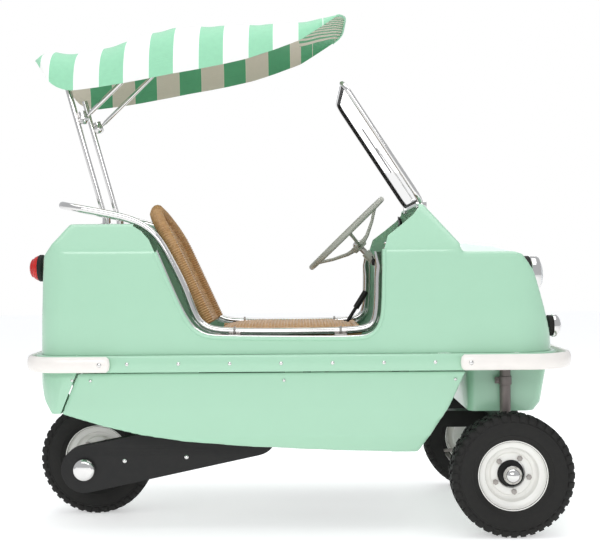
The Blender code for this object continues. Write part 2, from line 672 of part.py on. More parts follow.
def seat():
    outline = [
        (-0.535, 1.130), (-0.505, 1.155), (-0.470, 1.138), (-0.438, 1.065), (-0.395, 0.965), (-0.355, 0.860),
        (-0.325, 0.770), (-0.305, 0.722), (-0.335, 0.716), (-0.352, 0.745), (-0.385, 0.835), (-0.428, 0.935),
        (-0.480, 1.040),
    ]
    back = slab("seat_back", list(reversed(outline)), -SEAT_HALF, SEAT_HALF)
    arch = [(-SEAT_HALF, 0.70), (SEAT_HALF, 0.70)] + arc((0, 0.960), SEAT_HALF, 0, 180, 12)[1:-1]
    arch = [(y, z if z < 0.961 else 0.961 + (z - 0.961) * 0.88) for y, z in arch]
    arch.insert(2, (SEAT_HALF, 0.96))
    arch.append((-SEAT_HALF, 0.96))
    common(back, end_block("arch", arch, -1, 1))
    finish(back, "cane")
    cushion = box("seat_cushion", (-0.305, -SEAT_HALF, CUSHION_BOTTOM), (0.235, SEAT_HALF, CUSHION_TOP))
    round_edges(cushion, 0.018)
    finish(cushion, "cane")
    lever = rod("handbrake_lever", (0.170, 0.270, 0.640), (0.270, 0.270, 0.800), 0.007, 12)
    union(lever, rod("grip", (0.235, 0.270, 0.744), (0.276, 0.270, 0.8096), 0.012, 12))
    union(lever, rod("boss", (0.170, 0.260, 0.640), (0.170, 0.280, 0.640), 0.018, 20))
    cut(lever, rod("bore", (0.170, 0.2, 0.640), (0.170, 0.3, 0.640), 0.008, 16))
    finish(smooth(lever), "black_iron", (0.170, 0.270, 0.640))
    bracket = box("handbrake_bracket", (0.150, 0.2815, 0.6005), (0.190, 0.2875, 0.664))
    union(bracket, rod("pin", (0.170, 0.256, 0.640), (0.170, 0.285, 0.640), 0.0068, 16))
    finish(bracket, "black_iron")


def round_edges(obj, width):
    bm = bmesh.new()
    bm.from_mesh(obj.data)
    bmesh.ops.bevel(bm, geom=bm.edges[:], offset=width, segments=2, affect="EDGES", profile=0.5)
    bm.to_mesh(obj.data)
    bm.free()


# Canopy

def canopy():
    top = curve_through([
        (-0.934, 1.669), (-0.912, 1.700), (-0.885, 1.704), (-0.804, 1.697), (-0.696, 1.717), (-0.527, 1.772),
        (-0.442, 1.794), (-0.173, 1.798), (0.012, 1.801), (0.143, 1.820), (0.185, 1.812),
    ], 2)
    hem = curve_through([
        (0.176, 1.794), (0.111, 1.765), (0.017, 1.715), (-0.079, 1.680), (-0.170, 1.651), (-0.346, 1.615),
        (-0.523, 1.583), (-0.702, 1.553), (-0.792, 1.542), (-0.856, 1.558), (-0.902, 1.619),
    ], 1)
    shell = slab("canopy", top + hem, -CANOPY_HALF, CANOPY_HALF)
    crown = [(-CANOPY_HALF, 1.4), (CANOPY_HALF, 1.4), (CANOPY_HALF, 1.762), (0.205, 1.792), (0.150, 1.812),
             (0.060, 1.822), (-0.060, 1.822), (-0.150, 1.812), (-0.205, 1.792), (-CANOPY_HALF, 1.762)]
    common(shell, end_block("crown", crown, -1.2, 1.2))
    under = [(x, z - CANOPY_SKIN) for x, z in top if -0.90 < x < 0.15]
    under = [(-0.912, 1.600), (-0.915, 1.668)] + under + [(0.168, 1.795), (0.168, 1.700), (0.05, 1.4), (-0.86, 1.4)]
    hollow = slab("hollow", under, -CANOPY_HALF + CANOPY_SKIN, CANOPY_HALF - CANOPY_SKIN)
    low_crown = [(y * 0.95, z - CANOPY_SKIN if z > 1.5 else 1.3) for y, z in crown]
    common(hollow, end_block("crown", low_crown, -1.2, 1.2))
    cut(shell, hollow)
    finish(shell, "cloth")
    for name, side in (("left", 1), ("right", -1)):
        y = side * POST_Y
        foot = (POST_FOOT[0], y, POST_FOOT[1] + 0.006)
        post = rod("canopy_post_" + name, foot, (POST_HEAD[0], y, POST_HEAD[1]), POST_RADIUS, 18)
        union(post, turned("flange", [(0, 0), (0.026, 0), (0.026, 0.004), (0.016, 0.012), (0, 0.012)],
                           (POST_FOOT[0] - 0.001, y, POST_FOOT[1] + 0.0012), (0, 0, 1), 20))
        bm = bmesh.new()
        bmesh.ops.create_uvsphere(bm, u_segments=16, v_segments=10, radius=0.019)
        bmesh.ops.translate(bm, vec=(CLAMP[0], y - side * 0.004, CLAMP[1]), verts=bm.verts)
        union(post, mesh_object("clamp", bm))
        finish(smooth(post), "chrome")
        direction = Vector((STRUT_HEAD[0] - CLAMP[0], 0, STRUT_HEAD[1] - CLAMP[1])).normalized()
        start = (CLAMP[0] + direction.x * 0.0205, y - side * 0.004, CLAMP[1] + direction.z * 0.0205)
        end = (STRUT_HEAD[0] + direction.x * 0.120, y - side * 0.004, STRUT_HEAD[1] + direction.z * 0.120)
        finish(smooth(rod("canopy_strut_" + name, start, end, STRUT_RADIUS, 14)), "chrome")


# Wheels

def tyre(name, x, y):
    half = TYRE_WIDTH / 2
    outer = WHEEL_RADIUS
    profile = [(RIM_RADIUS - 0.006, -0.031), (0.140, -half), (0.172, -half), (outer - 0.010, -half + 0.008),
               (outer, -half + 0.018), (outer, half - 0.018), (outer - 0.010, half - 0.008), (0.172, half),
               (0.140, half), (RIM_RADIUS - 0.006, 0.031), (0.118, 0.026), (0.160, 0.040), (0.188, 0.0),
               (0.160, -0.040), (0.118, -0.026)]
    ring_piece = turned(name, profile, (0, 0, 0), (0, 1, 0), TYRE_SIDES)
    finish(smooth(facet_down(ring_piece, x, y)), "rubber", (x, y, WHEEL_RADIUS))


def facet_down(obj, x, y):
    """Turns a tyre half a side, so that a flat facet lies underneath."""
    half_side = pi / TYRE_SIDES
    grow = 1 / cos(half_side)
    turn = Matrix.Rotation(half_side, 4, "Y")
    obj.data.transform(Matrix.Translation((x, y, WHEEL_RADIUS)) @ turn @ Matrix.Diagonal((grow, 1, grow, 1)))
    return obj


def rim(name, x, y, bore):
    half = RIM_WIDTH / 2
    edge = RIM_RADIUS - 0.0075
    profile = [(bore, -0.022), (HUB_RADIUS + 0.004, -0.022), (HUB_RADIUS + 0.004, -0.006), (0.080, -0.006),
               (edge - 0.012, -0.018), (edge - 0.006, -half), (edge + 0.001, -half), (edge - 0.004, -0.018),
               (edge - 0.004, 0.018), (edge + 0.001, half), (edge - 0.006, half), (edge - 0.014, 0.012),
               (0.080, 0.001), (HUB_RADIUS + 0.004, 0.001), (HUB_RADIUS + 0.004, 0.022), (bore, 0.022)]
    centre = (x, y, WHEEL_RADIUS)
    finish(smooth(turned(name, profile, centre, (0, 1, 0), 20)), "cream_paint", centre)


def front_wheels():
    for name, side in (("left", 1), ("right", -1)):
        y = side * TRACK_HALF
        tyre("front_tyre_" + name, FRONT_AXLE_X, y)
        rim("front_rim_" + name, FRONT_AXLE_X, y, AXLE_RADIUS + FREE)
        cap = [(0, 0), (0.031, 0), (0.031, 0.010), (0.026, 0.020), (0.014, 0.027), (0, 0.029)]
        place = (FRONT_AXLE_X, side * (TRACK_HALF + 0.0225), WHEEL_RADIUS)
        finish(smooth(turned("hub_cap_" + name, cap, place, (0, side, 0), 16)), "chrome", place)
        start = side * (KINGPIN_Y + 0.005)
        stub = rod("stub_axle_" + name, (FRONT_AXLE_X, start, WHEEL_RADIUS),
                   (FRONT_AXLE_X, side * (TRACK_HALF + 0.020), WHEEL_RADIUS), AXLE_RADIUS, 20)
        union(stub, rod("collar", (FRONT_AXLE_X, start, WHEEL_RADIUS),
                        (FRONT_AXLE_X, side * (TRACK_HALF - 0.0235), WHEEL_RADIUS), 0.016, 20))
        body = rod("body", (FRONT_AXLE_X, side * KINGPIN_Y, 0.150), (FRONT_AXLE_X, side * KINGPIN_Y, 0.2695),
                   KINGPIN_RADIUS + 0.003, 24)
        arm = box("arm", (FRONT_AXLE_X - STEERING_ARM - 0.012, side * KINGPIN_Y - 0.011, 0.158),
                  (FRONT_AXLE_X - 0.010, side * KINGPIN_Y + 0.011, 0.168))
        union(stub, body, arm)
        finish(smooth(stub), "steel", (FRONT_AXLE_X, side * KINGPIN_Y, WHEEL_RADIUS))
    reach = KINGPIN_Y + 0.008
    rear = FRONT_AXLE_X - STEERING_ARM
    rod_piece = rod("tie_rod", (rear, -reach, 0.148), (rear, reach, 0.148), 0.008, 14)
    finish(smooth(rod_piece), "steel", (rear, 0, 0.148))


# Swing arm and drive

def capsule(first, first_radius, second, second_radius, count=12):
    """An outline round two circles: first is the rear one."""
    slope = atan2(second[1] - first[1], second[0] - first[0]) * 180 / pi
    return (arc(first, first_radius, slope + 90, slope + 270, count)
            + arc(second, second_radius, slope - 90, slope + 90, count))


def arm_height(x):
    """Height of the rear arm's centre line at a place along the car."""
    share = (x - REAR_AXLE_X) / (PIVOT[0] - REAR_AXLE_X)
    return WHEEL_RADIUS + (PIVOT[1] - WHEEL_RADIUS) * share


def swing_arm():
    axle = (REAR_AXLE_X, WHEEL_RADIUS)
    case = slab("chain_case", capsule(axle, CASE_RADIUS, PIVOT, CASE_RADIUS - 0.004), CASE_OUTER_Y, CASE_INNER_Y)
    room = capsule(axle, CASE_RADIUS - CASE_WALL, PIVOT, CASE_RADIUS - 0.004 - CASE_WALL)
    cut(case, slab("room", room, CASE_OUTER_Y + CASE_WALL, CASE_INNER_Y + 0.05))
    boss = rod("boss", (axle[0], CASE_OUTER_Y - 0.003, axle[1]), (axle[0], CASE_OUTER_Y + 0.010, axle[1]), 0.024, 24)
    union(case, boss)
    cut(case, rod("bore", (axle[0], -0.4, axle[1]), (axle[0], 0, axle[1]), AXLE_RADIUS + GAP * 2, 16))
    pivot_centre = (PIVOT[0], 0, PIVOT[1])
    finish(smooth(case), "black_iron", pivot_centre)

    arm_outer = ARM_INNER_Y + ARM_THICK
    arm = slab("swing_arm", capsule(axle, 0.024, PIVOT, 0.030, 10), ARM_INNER_Y, arm_outer)
    pivot_near = CASE_INNER_Y + 0.0005
    tube_body = rod("tube", (PIVOT[0], pivot_near, PIVOT[1]), (PIVOT[0], arm_outer, PIVOT[1]), PIVOT_TUBE_RADIUS, 28)
    bridge_z = arm_height(BRIDGE_X) + 0.0058
    bridge = rod("bridge", (BRIDGE_X, -0.135, bridge_z), (BRIDGE_X, ARM_INNER_Y + 0.005, bridge_z), 0.014, 18)
    pad_z = arm_height(SPRING_X)
    seat_pad = box("pad", (SPRING_X - 0.022, ARM_INNER_Y, pad_z), (SPRING_X + 0.022, arm_outer, pad_z + SPRING_PAD))
    stay = slab("stay", capsule((BRIDGE_X, bridge_z), 0.016, PIVOT, 0.026, 8), -0.135, -0.123)
    union(arm, tube_body, bridge, seat_pad, stay)
    cut(arm, rod("bore", (PIVOT[0], -0.4, PIVOT[1]), (PIVOT[0], 0.3, PIVOT[1]), AXLE_RADIUS + FREE, 16))
    cut(arm, rod("bore", (axle[0], 0, axle[1]), (axle[0], 0.3, axle[1]), AXLE_RADIUS + GAP * 2, 16))
    finish(smooth(arm), "black_iron", pivot_centre)
    axle_bar = rod("rear_axle", (axle[0], CASE_OUTER_Y - 0.004, axle[1]), (axle[0], arm_outer + 0.012, axle[1]),
                   AXLE_RADIUS, 20)
    cap = [(0, 0), (0.040, 0), (0.040, 0.006), (0.030, 0.014), (0.014, 0.018), (0, 0.019)]
    place = (axle[0], CASE_OUTER_Y - 0.0035, axle[1])
    union(axle_bar, turned("cap", cap, place, (0, -1, 0), 20))
    finish(smooth(axle_bar), "chrome", pivot_centre)
    spring_points = []
    turns = 5
    low = pad_z + SPRING_PAD + SPRING_WIRE + 2 * GAP
    high = SHELF_Z - SPRING_WIRE - 2 * GAP
    for i in range(turns * 8 + 1):
        turn = 2 * pi * i / 8
        spring_points.append((SPRING_X + 0.0185 * cos(turn), ARM_INNER_Y + 0.010 + 0.0185 * sin(turn),
                              low + (high - low) * i / (turns * 8)))
    finish(smooth(tube("rear_spring", spring_points, SPRING_WIRE, sides=1)), "steel")


def sprocket(name, centre, radius, y, thick, bore, teeth):
    """A toothed disc with its axis along Y."""
    outline = []
    for i in range(teeth):
        for share, reach in ((0.0, 0.90), (0.5, 1.0)):
            turn = 2 * pi * (i + share) / teeth
            outline.append((centre[0] + radius * reach * cos(turn), centre[1] + radius * reach * sin(turn)))
    disc = slab(name, outline, y - thick / 2, y + thick / 2)
    return cut(disc, rod("bore", (centre[0], y - 0.1, centre[1]), (centre[0], y + 0.1, centre[1]), bore, 16))


def rear_wheel():
    tyre("rear_tyre", REAR_AXLE_X, 0.0)
    rim("rear_rim", REAR_AXLE_X, 0.0, AXLE_RADIUS + FREE)
    centre = (REAR_AXLE_X, WHEEL_RADIUS)
    y = (CASE_OUTER_Y + CASE_INNER_Y) / 2 + 0.003
    wheel_sprocket = sprocket("rear_sprocket", centre, CHAIN_PITCH_RADIUS - 0.006, y, 0.005, 0.004, 18)
    union(wheel_sprocket, rod("sleeve", (centre[0], y, centre[1]), (centre[0], -0.0225, centre[1]), 0.018, 20))
    cut(wheel_sprocket, rod("bore", (centre[0], -0.4, centre[1]), (centre[0], 0.1, centre[1]), AXLE_RADIUS + FREE))
    finish(wheel_sprocket, "steel", (centre[0], 0, centre[1]))


def chain(name, first, first_radius, second, second_radius, y):
    """A chain drawn as a band round two sprockets."""
    outer = slab(name, capsule(first, first_radius + 0.005, second, second_radius + 0.005), y - CHAIN_THICK / 2,
                 y + CHAIN_THICK / 2)
    inner = slab("inner", capsule(first, first_radius, second, second_radius), y - 0.1, y + 0.1)
    finish(cut(outer, inner), "steel")


def drive():
    case_y = (CASE_OUTER_Y + CASE_INNER_Y) / 2 + 0.003
    shaft = rod("jackshaft", (PIVOT[0], case_y - 0.006, PIVOT[1]), (PIVOT[0], CHAIN_PLANE_Y + 0.008, PIVOT[1]),
                AXLE_RADIUS, 20)
    union(shaft, sprocket("gear", PIVOT, CHAIN_PITCH_RADIUS - 0.006, case_y, 0.005, 0.004, 18))
    union(shaft, sprocket("gear", PIVOT, JACK_SPROCKET_RADIUS - 0.005, CHAIN_PLANE_Y, 0.005, 0.004, 14))
    finish(shaft, "steel", (PIVOT[0], 0, PIVOT[1]))
    chain("secondary_chain", (REAR_AXLE_X, WHEEL_RADIUS), CHAIN_PITCH_RADIUS - 0.003, PIVOT,
          CHAIN_PITCH_RADIUS - 0.003, case_y)
    chain("primary_chain", PIVOT, JACK_SPROCKET_RADIUS - 0.003, CRANK, CHAINRING_RADIUS - 0.003, CHAIN_PLANE_Y)

    crank = rod("crankset", (CRANK[0], -CRANK_ARM_Y, CRANK[1]), (CRANK[0], CRANK_ARM_Y, CRANK[1]), AXLE_RADIUS, 20)
    union(crank, sprocket("ring", CRANK, CHAINRING_RADIUS - 0.006, CHAIN_PLANE_Y, 0.005, 0.004, 20))
    for name, side, tip in (("left", 1, CRANK[0] + CRANK_LENGTH), ("right", -1, CRANK[0] - CRANK_LENGTH)):
        low, high = sorted((side * CRANK_ARM_Y - 0.006, side * CRANK_ARM_Y + 0.006))
        union(crank, slab("arm", capsule(*sorted(((tip, CRANK[1]), CRANK))[:1], 0.014,
                                         *sorted(((tip, CRANK[1]), CRANK))[1:], 0.014, 8), low, high))
        spindle_end = side * (CRANK_ARM_Y + 0.006 + PEDAL_LENGTH + 0.006)
        union(crank, rod("spindle", (tip, side * CRANK_ARM_Y, CRANK[1]), (tip, spindle_end, CRANK[1]), 0.005, 12))
        inner = side * (CRANK_ARM_Y + 0.009)
        outer = side * (CRANK_ARM_Y + 0.009 + PEDAL_LENGTH)
        pedal = box("pedal_" + name, (tip - 0.030, min(inner, outer), CRANK[1] - 0.011),
                    (tip + 0.030, max(inner, outer), CRANK[1] + 0.011))
        round_edges(pedal, 0.003)
        cut(pedal, rod("bore", (tip, -0.4, CRANK[1]), (tip, 0.4, CRANK[1]), 0.005 + FREE, 16))
        finish(pedal, "rubber", (tip, (inner + outer) / 2, CRANK[1]))
    finish(crank, "steel", (CRANK[0], 0, CRANK[1]))


clear_scene()
upper_body()
lower_body()
belt_and_apron()
nose_pan()
bumper("front_bumper", 0.560, FRONT_END, 0.590, 0.170, "cream_paint")
bumper("rear_bumper", -0.640, -0.9335, 0.590, 0.130, "cream_paint")
cockpit_rail()
frame_pieces()
windscreen()
lamps()
steering()
seat()
canopy()
front_wheels()
swing_arm()
rear_wheel()
drive()
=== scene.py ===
"""Looks of a three-wheel pedal runabout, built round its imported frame. Metres, +Z up, +X forwards."""
import json
from math import atan2, cos, pi, radians, sin

import bpy
from mathutils import Matrix, Vector


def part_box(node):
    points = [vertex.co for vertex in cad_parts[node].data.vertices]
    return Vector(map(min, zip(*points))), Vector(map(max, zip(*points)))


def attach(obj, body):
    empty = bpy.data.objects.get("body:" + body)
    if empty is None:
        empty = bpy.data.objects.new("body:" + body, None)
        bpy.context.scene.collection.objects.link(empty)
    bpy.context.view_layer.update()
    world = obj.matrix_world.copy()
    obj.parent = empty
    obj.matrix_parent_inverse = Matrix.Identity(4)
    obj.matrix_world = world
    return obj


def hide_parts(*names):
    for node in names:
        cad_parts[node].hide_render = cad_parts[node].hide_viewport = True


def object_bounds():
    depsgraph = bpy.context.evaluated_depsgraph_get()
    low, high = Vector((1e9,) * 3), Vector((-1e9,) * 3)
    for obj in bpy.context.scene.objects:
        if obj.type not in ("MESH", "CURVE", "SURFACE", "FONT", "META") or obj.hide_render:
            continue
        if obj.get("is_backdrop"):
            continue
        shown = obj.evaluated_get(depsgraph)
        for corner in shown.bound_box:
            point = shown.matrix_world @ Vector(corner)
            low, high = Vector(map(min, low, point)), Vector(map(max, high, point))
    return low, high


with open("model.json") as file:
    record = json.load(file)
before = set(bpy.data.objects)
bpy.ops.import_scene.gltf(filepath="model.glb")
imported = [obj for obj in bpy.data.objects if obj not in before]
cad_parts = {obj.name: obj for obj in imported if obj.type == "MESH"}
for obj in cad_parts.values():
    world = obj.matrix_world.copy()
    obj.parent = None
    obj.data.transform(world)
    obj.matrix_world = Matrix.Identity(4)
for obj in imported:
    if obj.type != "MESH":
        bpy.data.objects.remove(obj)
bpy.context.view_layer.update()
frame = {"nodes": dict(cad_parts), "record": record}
nodes = frame["nodes"]

# Studio: a pale floor before a white backdrop, with an overhead, a front and a rear bank of light.
# The camera is level with the beltline, almost four metres off the near side, where the whole length fits.
def added(operator, **settings):
    """The object that one of the add operators makes, with nothing else selected."""
    bpy.ops.object.select_all(action="DESELECT")
    operator(**settings)
    return bpy.context.object


def shader_of(material):
    return material.node_tree.nodes["Principled BSDF"]


camera_data = bpy.data.cameras.new("camera")
camera_data.lens = 62.64
camera_data.sensor_width = 36.0
camera_data.shift_y = -0.03
camera = bpy.data.objects.new("camera", camera_data)
camera.rotation_mode = "XYZ"
camera.location = (0.012, -3.93, 0.930)
camera.rotation_euler = (radians(90), radians(0.42), 0)
bpy.context.scene.collection.objects.link(camera)
bpy.context.scene.camera = camera
bpy.context.scene.view_settings.view_transform = "Standard"


def lamp_bank(name, place, aim, size, power):
    light = bpy.data.lights.new(name, "AREA")
    light.shape = "RECTANGLE"
    light.size = size[0]
    light.size_y = size[1]
    light.energy = power
    bank = bpy.data.objects.new(name, light)
    bank.location = place
    bank.rotation_mode = "QUATERNION"
    bank.rotation_quaternion = (Vector(aim) - Vector(place)).to_track_quat("-Z", "Y")
    bpy.context.scene.collection.objects.link(bank)


lamp_bank("overhead_bank", (0, -0.3, 4.2), (0, 0, 0.6), (4.5, 3.2), 78)
lamp_bank("front_bank", (-0.6, -4.6, 2.6), (0, 0, 0.7), (3.6, 1.2), 60)
lamp_bank("rear_bank", (0.8, 4.6, 2.8), (0, 0, 0.8), (3.6, 2.4), 30)
world = bpy.data.worlds.new("studio")
world.use_nodes = True
world_tree = world.node_tree
surround = world_tree.nodes["Background"]
surround.inputs["Color"].default_value = (0.95, 0.97, 1.0, 1)
surround.inputs["Strength"].default_value = 0.62
backdrop = world_tree.nodes.new("ShaderNodeBackground")
backdrop.inputs["Color"].default_value = (1, 1, 1, 1)
sight = world_tree.nodes.new("ShaderNodeLightPath")
choose = world_tree.nodes.new("ShaderNodeMixShader")
either = world_tree.nodes.new("ShaderNodeMath")
either.operation = "MAXIMUM"
world_tree.links.new(sight.outputs["Is Camera Ray"], either.inputs[0])
world_tree.links.new(sight.outputs["Is Transmission Ray"], either.inputs[1])
world_tree.links.new(either.outputs[0], choose.inputs["Fac"])
world_tree.links.new(surround.outputs[0], choose.inputs[1])
world_tree.links.new(backdrop.outputs[0], choose.inputs[2])
world_tree.links.new(choose.outputs[0], world_tree.nodes["World Output"].inputs["Surface"])
bpy.context.scene.world = world

floor = added(bpy.ops.mesh.primitive_plane_add, size=30, location=(0, 0, -0.0005))
floor.name = "floor"
floor_paint = bpy.data.materials.new("floor_paper")
floor_paint.use_nodes = True
floor_shader = shader_of(floor_paint)
floor_shader.inputs["Base Color"].default_value = (0.86, 0.86, 0.86, 1)
floor_shader.inputs["Roughness"].default_value = 0.75
floor_shader.inputs["Emission Color"].default_value = (1, 1, 1, 1)
floor_shader.inputs["Emission Strength"].default_value = 0.46
floor.data.materials.append(floor_paint)
floor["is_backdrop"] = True


# Surface groups: every solid finish on the car carries a little unevenness, from spraying, handling or dust.
# The group takes a colour and a roughness and gives both back, broken up, with a height for the bump.
def new_group(name, sockets_in, sockets_out):
    group = bpy.data.node_groups.new(name, "ShaderNodeTree")
    for label, kind, value in sockets_in:
        socket = group.interface.new_socket(name=label, in_out="INPUT", socket_type=kind)
        socket.default_value = value
    for label, kind in sockets_out:
        group.interface.new_socket(name=label, in_out="OUTPUT", socket_type=kind)
    return group


def node(tree, kind, **settings):
    made = tree.nodes.new(kind)
    for key, value in settings.items():
        setattr(made, key, value)
    return made


def mottle_group():
    """Noise-driven colour, roughness and height, all in object space."""
    group = new_group(
        "mottle",
        [("Colour", "NodeSocketColor", (0.5, 0.5, 0.5, 1)), ("Second", "NodeSocketColor", (0.5, 0.5, 0.5, 1)),
         ("Roughness", "NodeSocketFloat", 0.4), ("Spread", "NodeSocketFloat", 0.1),
         ("Scale", "NodeSocketFloat", 40.0)],
        [("Colour", "NodeSocketColor"), ("Roughness", "NodeSocketFloat"), ("Height", "NodeSocketFloat")],
    )
    start = group.nodes.new("NodeGroupInput")
    end = group.nodes.new("NodeGroupOutput")
    place = group.nodes.new("ShaderNodeTexCoord")
    noise = node(group, "ShaderNodeTexNoise")
    noise.inputs["Detail"].default_value = 6.0
    mix = node(group, "ShaderNodeMix", data_type="RGBA")
    centred = node(group, "ShaderNodeMath", operation="SUBTRACT")
    centred.inputs[1].default_value = 0.5
    scaled = node(group, "ShaderNodeMath", operation="MULTIPLY")
    total = node(group, "ShaderNodeMath", operation="ADD")
    group.links.new(place.outputs["Object"], noise.inputs["Vector"])
    group.links.new(start.outputs["Scale"], noise.inputs["Scale"])
    group.links.new(noise.outputs["Fac"], mix.inputs["Factor"])
    group.links.new(start.outputs["Colour"], mix.inputs["A"])
    group.links.new(start.outputs["Second"], mix.inputs["B"])
    group.links.new(mix.outputs["Result"], end.inputs["Colour"])
    group.links.new(noise.outputs["Fac"], centred.inputs[0])
    group.links.new(centred.outputs[0], scaled.inputs[0])
    group.links.new(start.outputs["Spread"], scaled.inputs[1])
    group.links.new(scaled.outputs[0], total.inputs[0])
    group.links.new(start.outputs["Roughness"], total.inputs[1])
    group.links.new(total.outputs[0], end.inputs["Roughness"])
    group.links.new(noise.outputs["Fac"], end.inputs["Height"])
    return group


MOTTLE = mottle_group()


def mottled(tree, colour, second, **values):
    """A mottle group fed with two colours and any of its other values."""
    made = node(tree, "ShaderNodeGroup", node_tree=MOTTLE)
    made.inputs["Colour"].default_value = (*colour, 1)
    made.inputs["Second"].default_value = (*second, 1)
    for label, value in values.items():
        made.inputs[label].default_value = value
    return made


def finish_of(name, colour, second, rough=0.4, spread=0.1, scale=40.0, metal=0.0, bump=0.05, coat=0.0):
    """A Principled material fed by the mottle group."""
    material = bpy.data.materials.new(name)
    material.use_nodes = True
    tree = material.node_tree
    shader = shader_of(material)
    mottle = mottled(tree, colour, second, Roughness=rough, Spread=spread, Scale=scale)
    lift = node(tree, "ShaderNodeBump")
    lift.inputs["Strength"].default_value = bump
    lift.inputs["Distance"].default_value = 0.001
    tree.links.new(mottle.outputs["Colour"], shader.inputs["Base Color"])
    tree.links.new(mottle.outputs["Roughness"], shader.inputs["Roughness"])
    tree.links.new(mottle.outputs["Height"], lift.inputs["Height"])
    tree.links.new(lift.outputs["Normal"], shader.inputs["Normal"])
    shader.inputs["Metallic"].default_value = metal
    shader.inputs["Coat Weight"].default_value = coat
    shader.inputs["Coat Roughness"].default_value = 0.04
    return material


mint_paint = finish_of(
    "mint_paint", (0.36, 0.61, 0.44), (0.37, 0.63, 0.455), 0.30, 0.04, 14.0, bump=0.004, coat=0.6
)
cream_paint = finish_of("cream_paint", (0.80, 0.76, 0.72), (0.86, 0.82, 0.78), 0.32, 0.10, 25.0, coat=0.4)
chrome = finish_of("chrome", (0.74, 0.73, 0.72), (0.66, 0.65, 0.64), 0.10, 0.05, 20.0, metal=1.0, bump=0.005)
black_paint = finish_of(
    "black_paint", (0.008, 0.008, 0.008), (0.016, 0.015, 0.014), 0.42, 0.2, 30.0, bump=0.1
)
steel = finish_of("steel", (0.30, 0.27, 0.25), (0.42, 0.40, 0.38), 0.38, 0.2, 70.0, metal=0.9, bump=0.1)
rubber = finish_of("rubber", (0.008, 0.008, 0.008), (0.020, 0.019, 0.017), 0.62, 0.2, 50.0, bump=0.25)
grey_plastic = finish_of("grey_plastic", (0.32, 0.33, 0.28), (0.36, 0.37, 0.32), 0.42, 0.06, 20.0, bump=0.02)


def glass_of(name, colour, rough=0.02):
    material = bpy.data.materials.new(name)
    material.use_nodes = True
    shader = shader_of(material)
    shader.inputs["Base Color"].default_value = (*colour, 1)
    shader.inputs["Transmission Weight"].default_value = 1.0
    shader.inputs["Roughness"].default_value = rough
    shader.inputs["IOR"].default_value = 1.45
    return material


clear_glass = glass_of("clear_glass", (0.97, 1.0, 0.99))
red_glass = glass_of("red_glass", (0.70, 0.02, 0.015), 0.08)
shader_of(red_glass).inputs["Transmission Weight"].default_value = 0.35
screen_glass = glass_of("screen_glass", (1.0, 1.0, 1.0), 0.0)
shader_of(screen_glass).inputs["IOR"].default_value = 1.04
case_paint = finish_of(
    "case_paint", (0.011, 0.011, 0.012), (0.020, 0.019, 0.018), 0.42, 0.12, 30.0, bump=0.03
)
for dark in (rubber, black_paint, case_paint):
    shader_of(dark).inputs["Specular IOR Level"].default_value = 0.25
fluted_glass = glass_of("fluted_glass", (0.95, 0.98, 1.0), 0.12)
wheel_white = finish_of("wheel_white", (0.80, 0.79, 0.75), (0.86, 0.85, 0.81), 0.35, 0.12, 30.0, coat=0.3)
pillar_steel = finish_of(
    "pillar_steel", (0.13, 0.11, 0.105), (0.20, 0.17, 0.16), 0.42, 0.15, 40.0, metal=0.4, bump=0.1
)


def coat_node(name, material):
    """Puts a finish on a frame part that keeps its own shape."""
    obj = nodes[name]
    obj.data.materials.clear()
    obj.data.materials.append(material)


for slot_name, material in (
    ("body_paint", mint_paint), ("cream_paint", cream_paint), ("chrome", chrome),
    ("black_paint", black_paint), ("pedal_rubber", rubber), ("tyre", rubber), ("cane", steel),
    ("cushion", steel), ("canopy_cloth", steel), ("glass", clear_glass), ("red_lens", red_glass),
    ("steel", steel), ("grey_plastic", grey_plastic)
):
    for part in frame["record"]["subparts"]:
        if part["material_slot"] == slot_name:
            coat_node(part["node"], material)


# Upper body: a glass-fibre moulding with softened creases, laid up in one mould from tail to nose.
# Four overlapping blocks are cut to their slopes, fused into one skin, and trimmed at the cockpit.
def only(obj):
    bpy.ops.object.select_all(action="DESELECT")
    obj.select_set(True)
    bpy.context.view_layer.objects.active = obj
    return obj


def apply_all(obj):
    only(obj)
    for modifier in list(obj.modifiers):
        bpy.ops.object.modifier_apply(modifier=modifier.name)
    return obj


def settled(operator, **settings):
    """An added object with its place, turn and scale put into its mesh."""
    obj = added(operator, **settings)
    bpy.ops.object.transform_apply(location=True, rotation=True, scale=True)
    return obj


def edit_all(obj, operator, **settings):
    """Runs a mesh operator on the whole of a piece."""
    only(obj)
    bpy.ops.object.mode_set(mode="EDIT")
    bpy.ops.mesh.select_all(action="SELECT")
    operator(**settings)
    bpy.ops.object.mode_set(mode="OBJECT")


def block(name, low, high):
    """A cube primitive brought to two corners, with its place in its mesh."""
    middle = [(a + b) / 2 for a, b in zip(low, high)]
    size = [b - a for a, b in zip(low, high)]
    obj = settled(bpy.ops.mesh.primitive_cube_add, size=1, location=middle, scale=size)
    obj.name = name
    return obj


def pick(obj, test, kind="EDGE"):
    """Selects the edges or faces that pass the test on their middle and direction."""
    only(obj)
    bpy.ops.object.mode_set(mode="EDIT")
    bpy.ops.mesh.select_mode(type=kind)
    bpy.ops.mesh.select_all(action="DESELECT")
    bpy.ops.object.mode_set(mode="OBJECT")
    mesh = obj.data
    if kind == "EDGE":
        for edge in mesh.edges:
            first, second = (mesh.vertices[i].co for i in edge.vertices)
            edge.select = test((first + second) / 2, (second - first).normalized())
    else:
        for face in mesh.polygons:
            face.select = test(face.center, face.normal)
    bpy.ops.object.mode_set(mode="EDIT")


def round_edges(obj, radius, segments, test):
    pick(obj, test)
    bpy.ops.mesh.bevel(offset=radius, segments=segments, affect="EDGES", clamp_overlap=True)
    bpy.ops.object.mode_set(mode="OBJECT")


def drop_faces(obj, test):
    pick(obj, test, "FACE")
    bpy.ops.mesh.delete(type="FACE")
    bpy.ops.object.mode_set(mode="OBJECT")


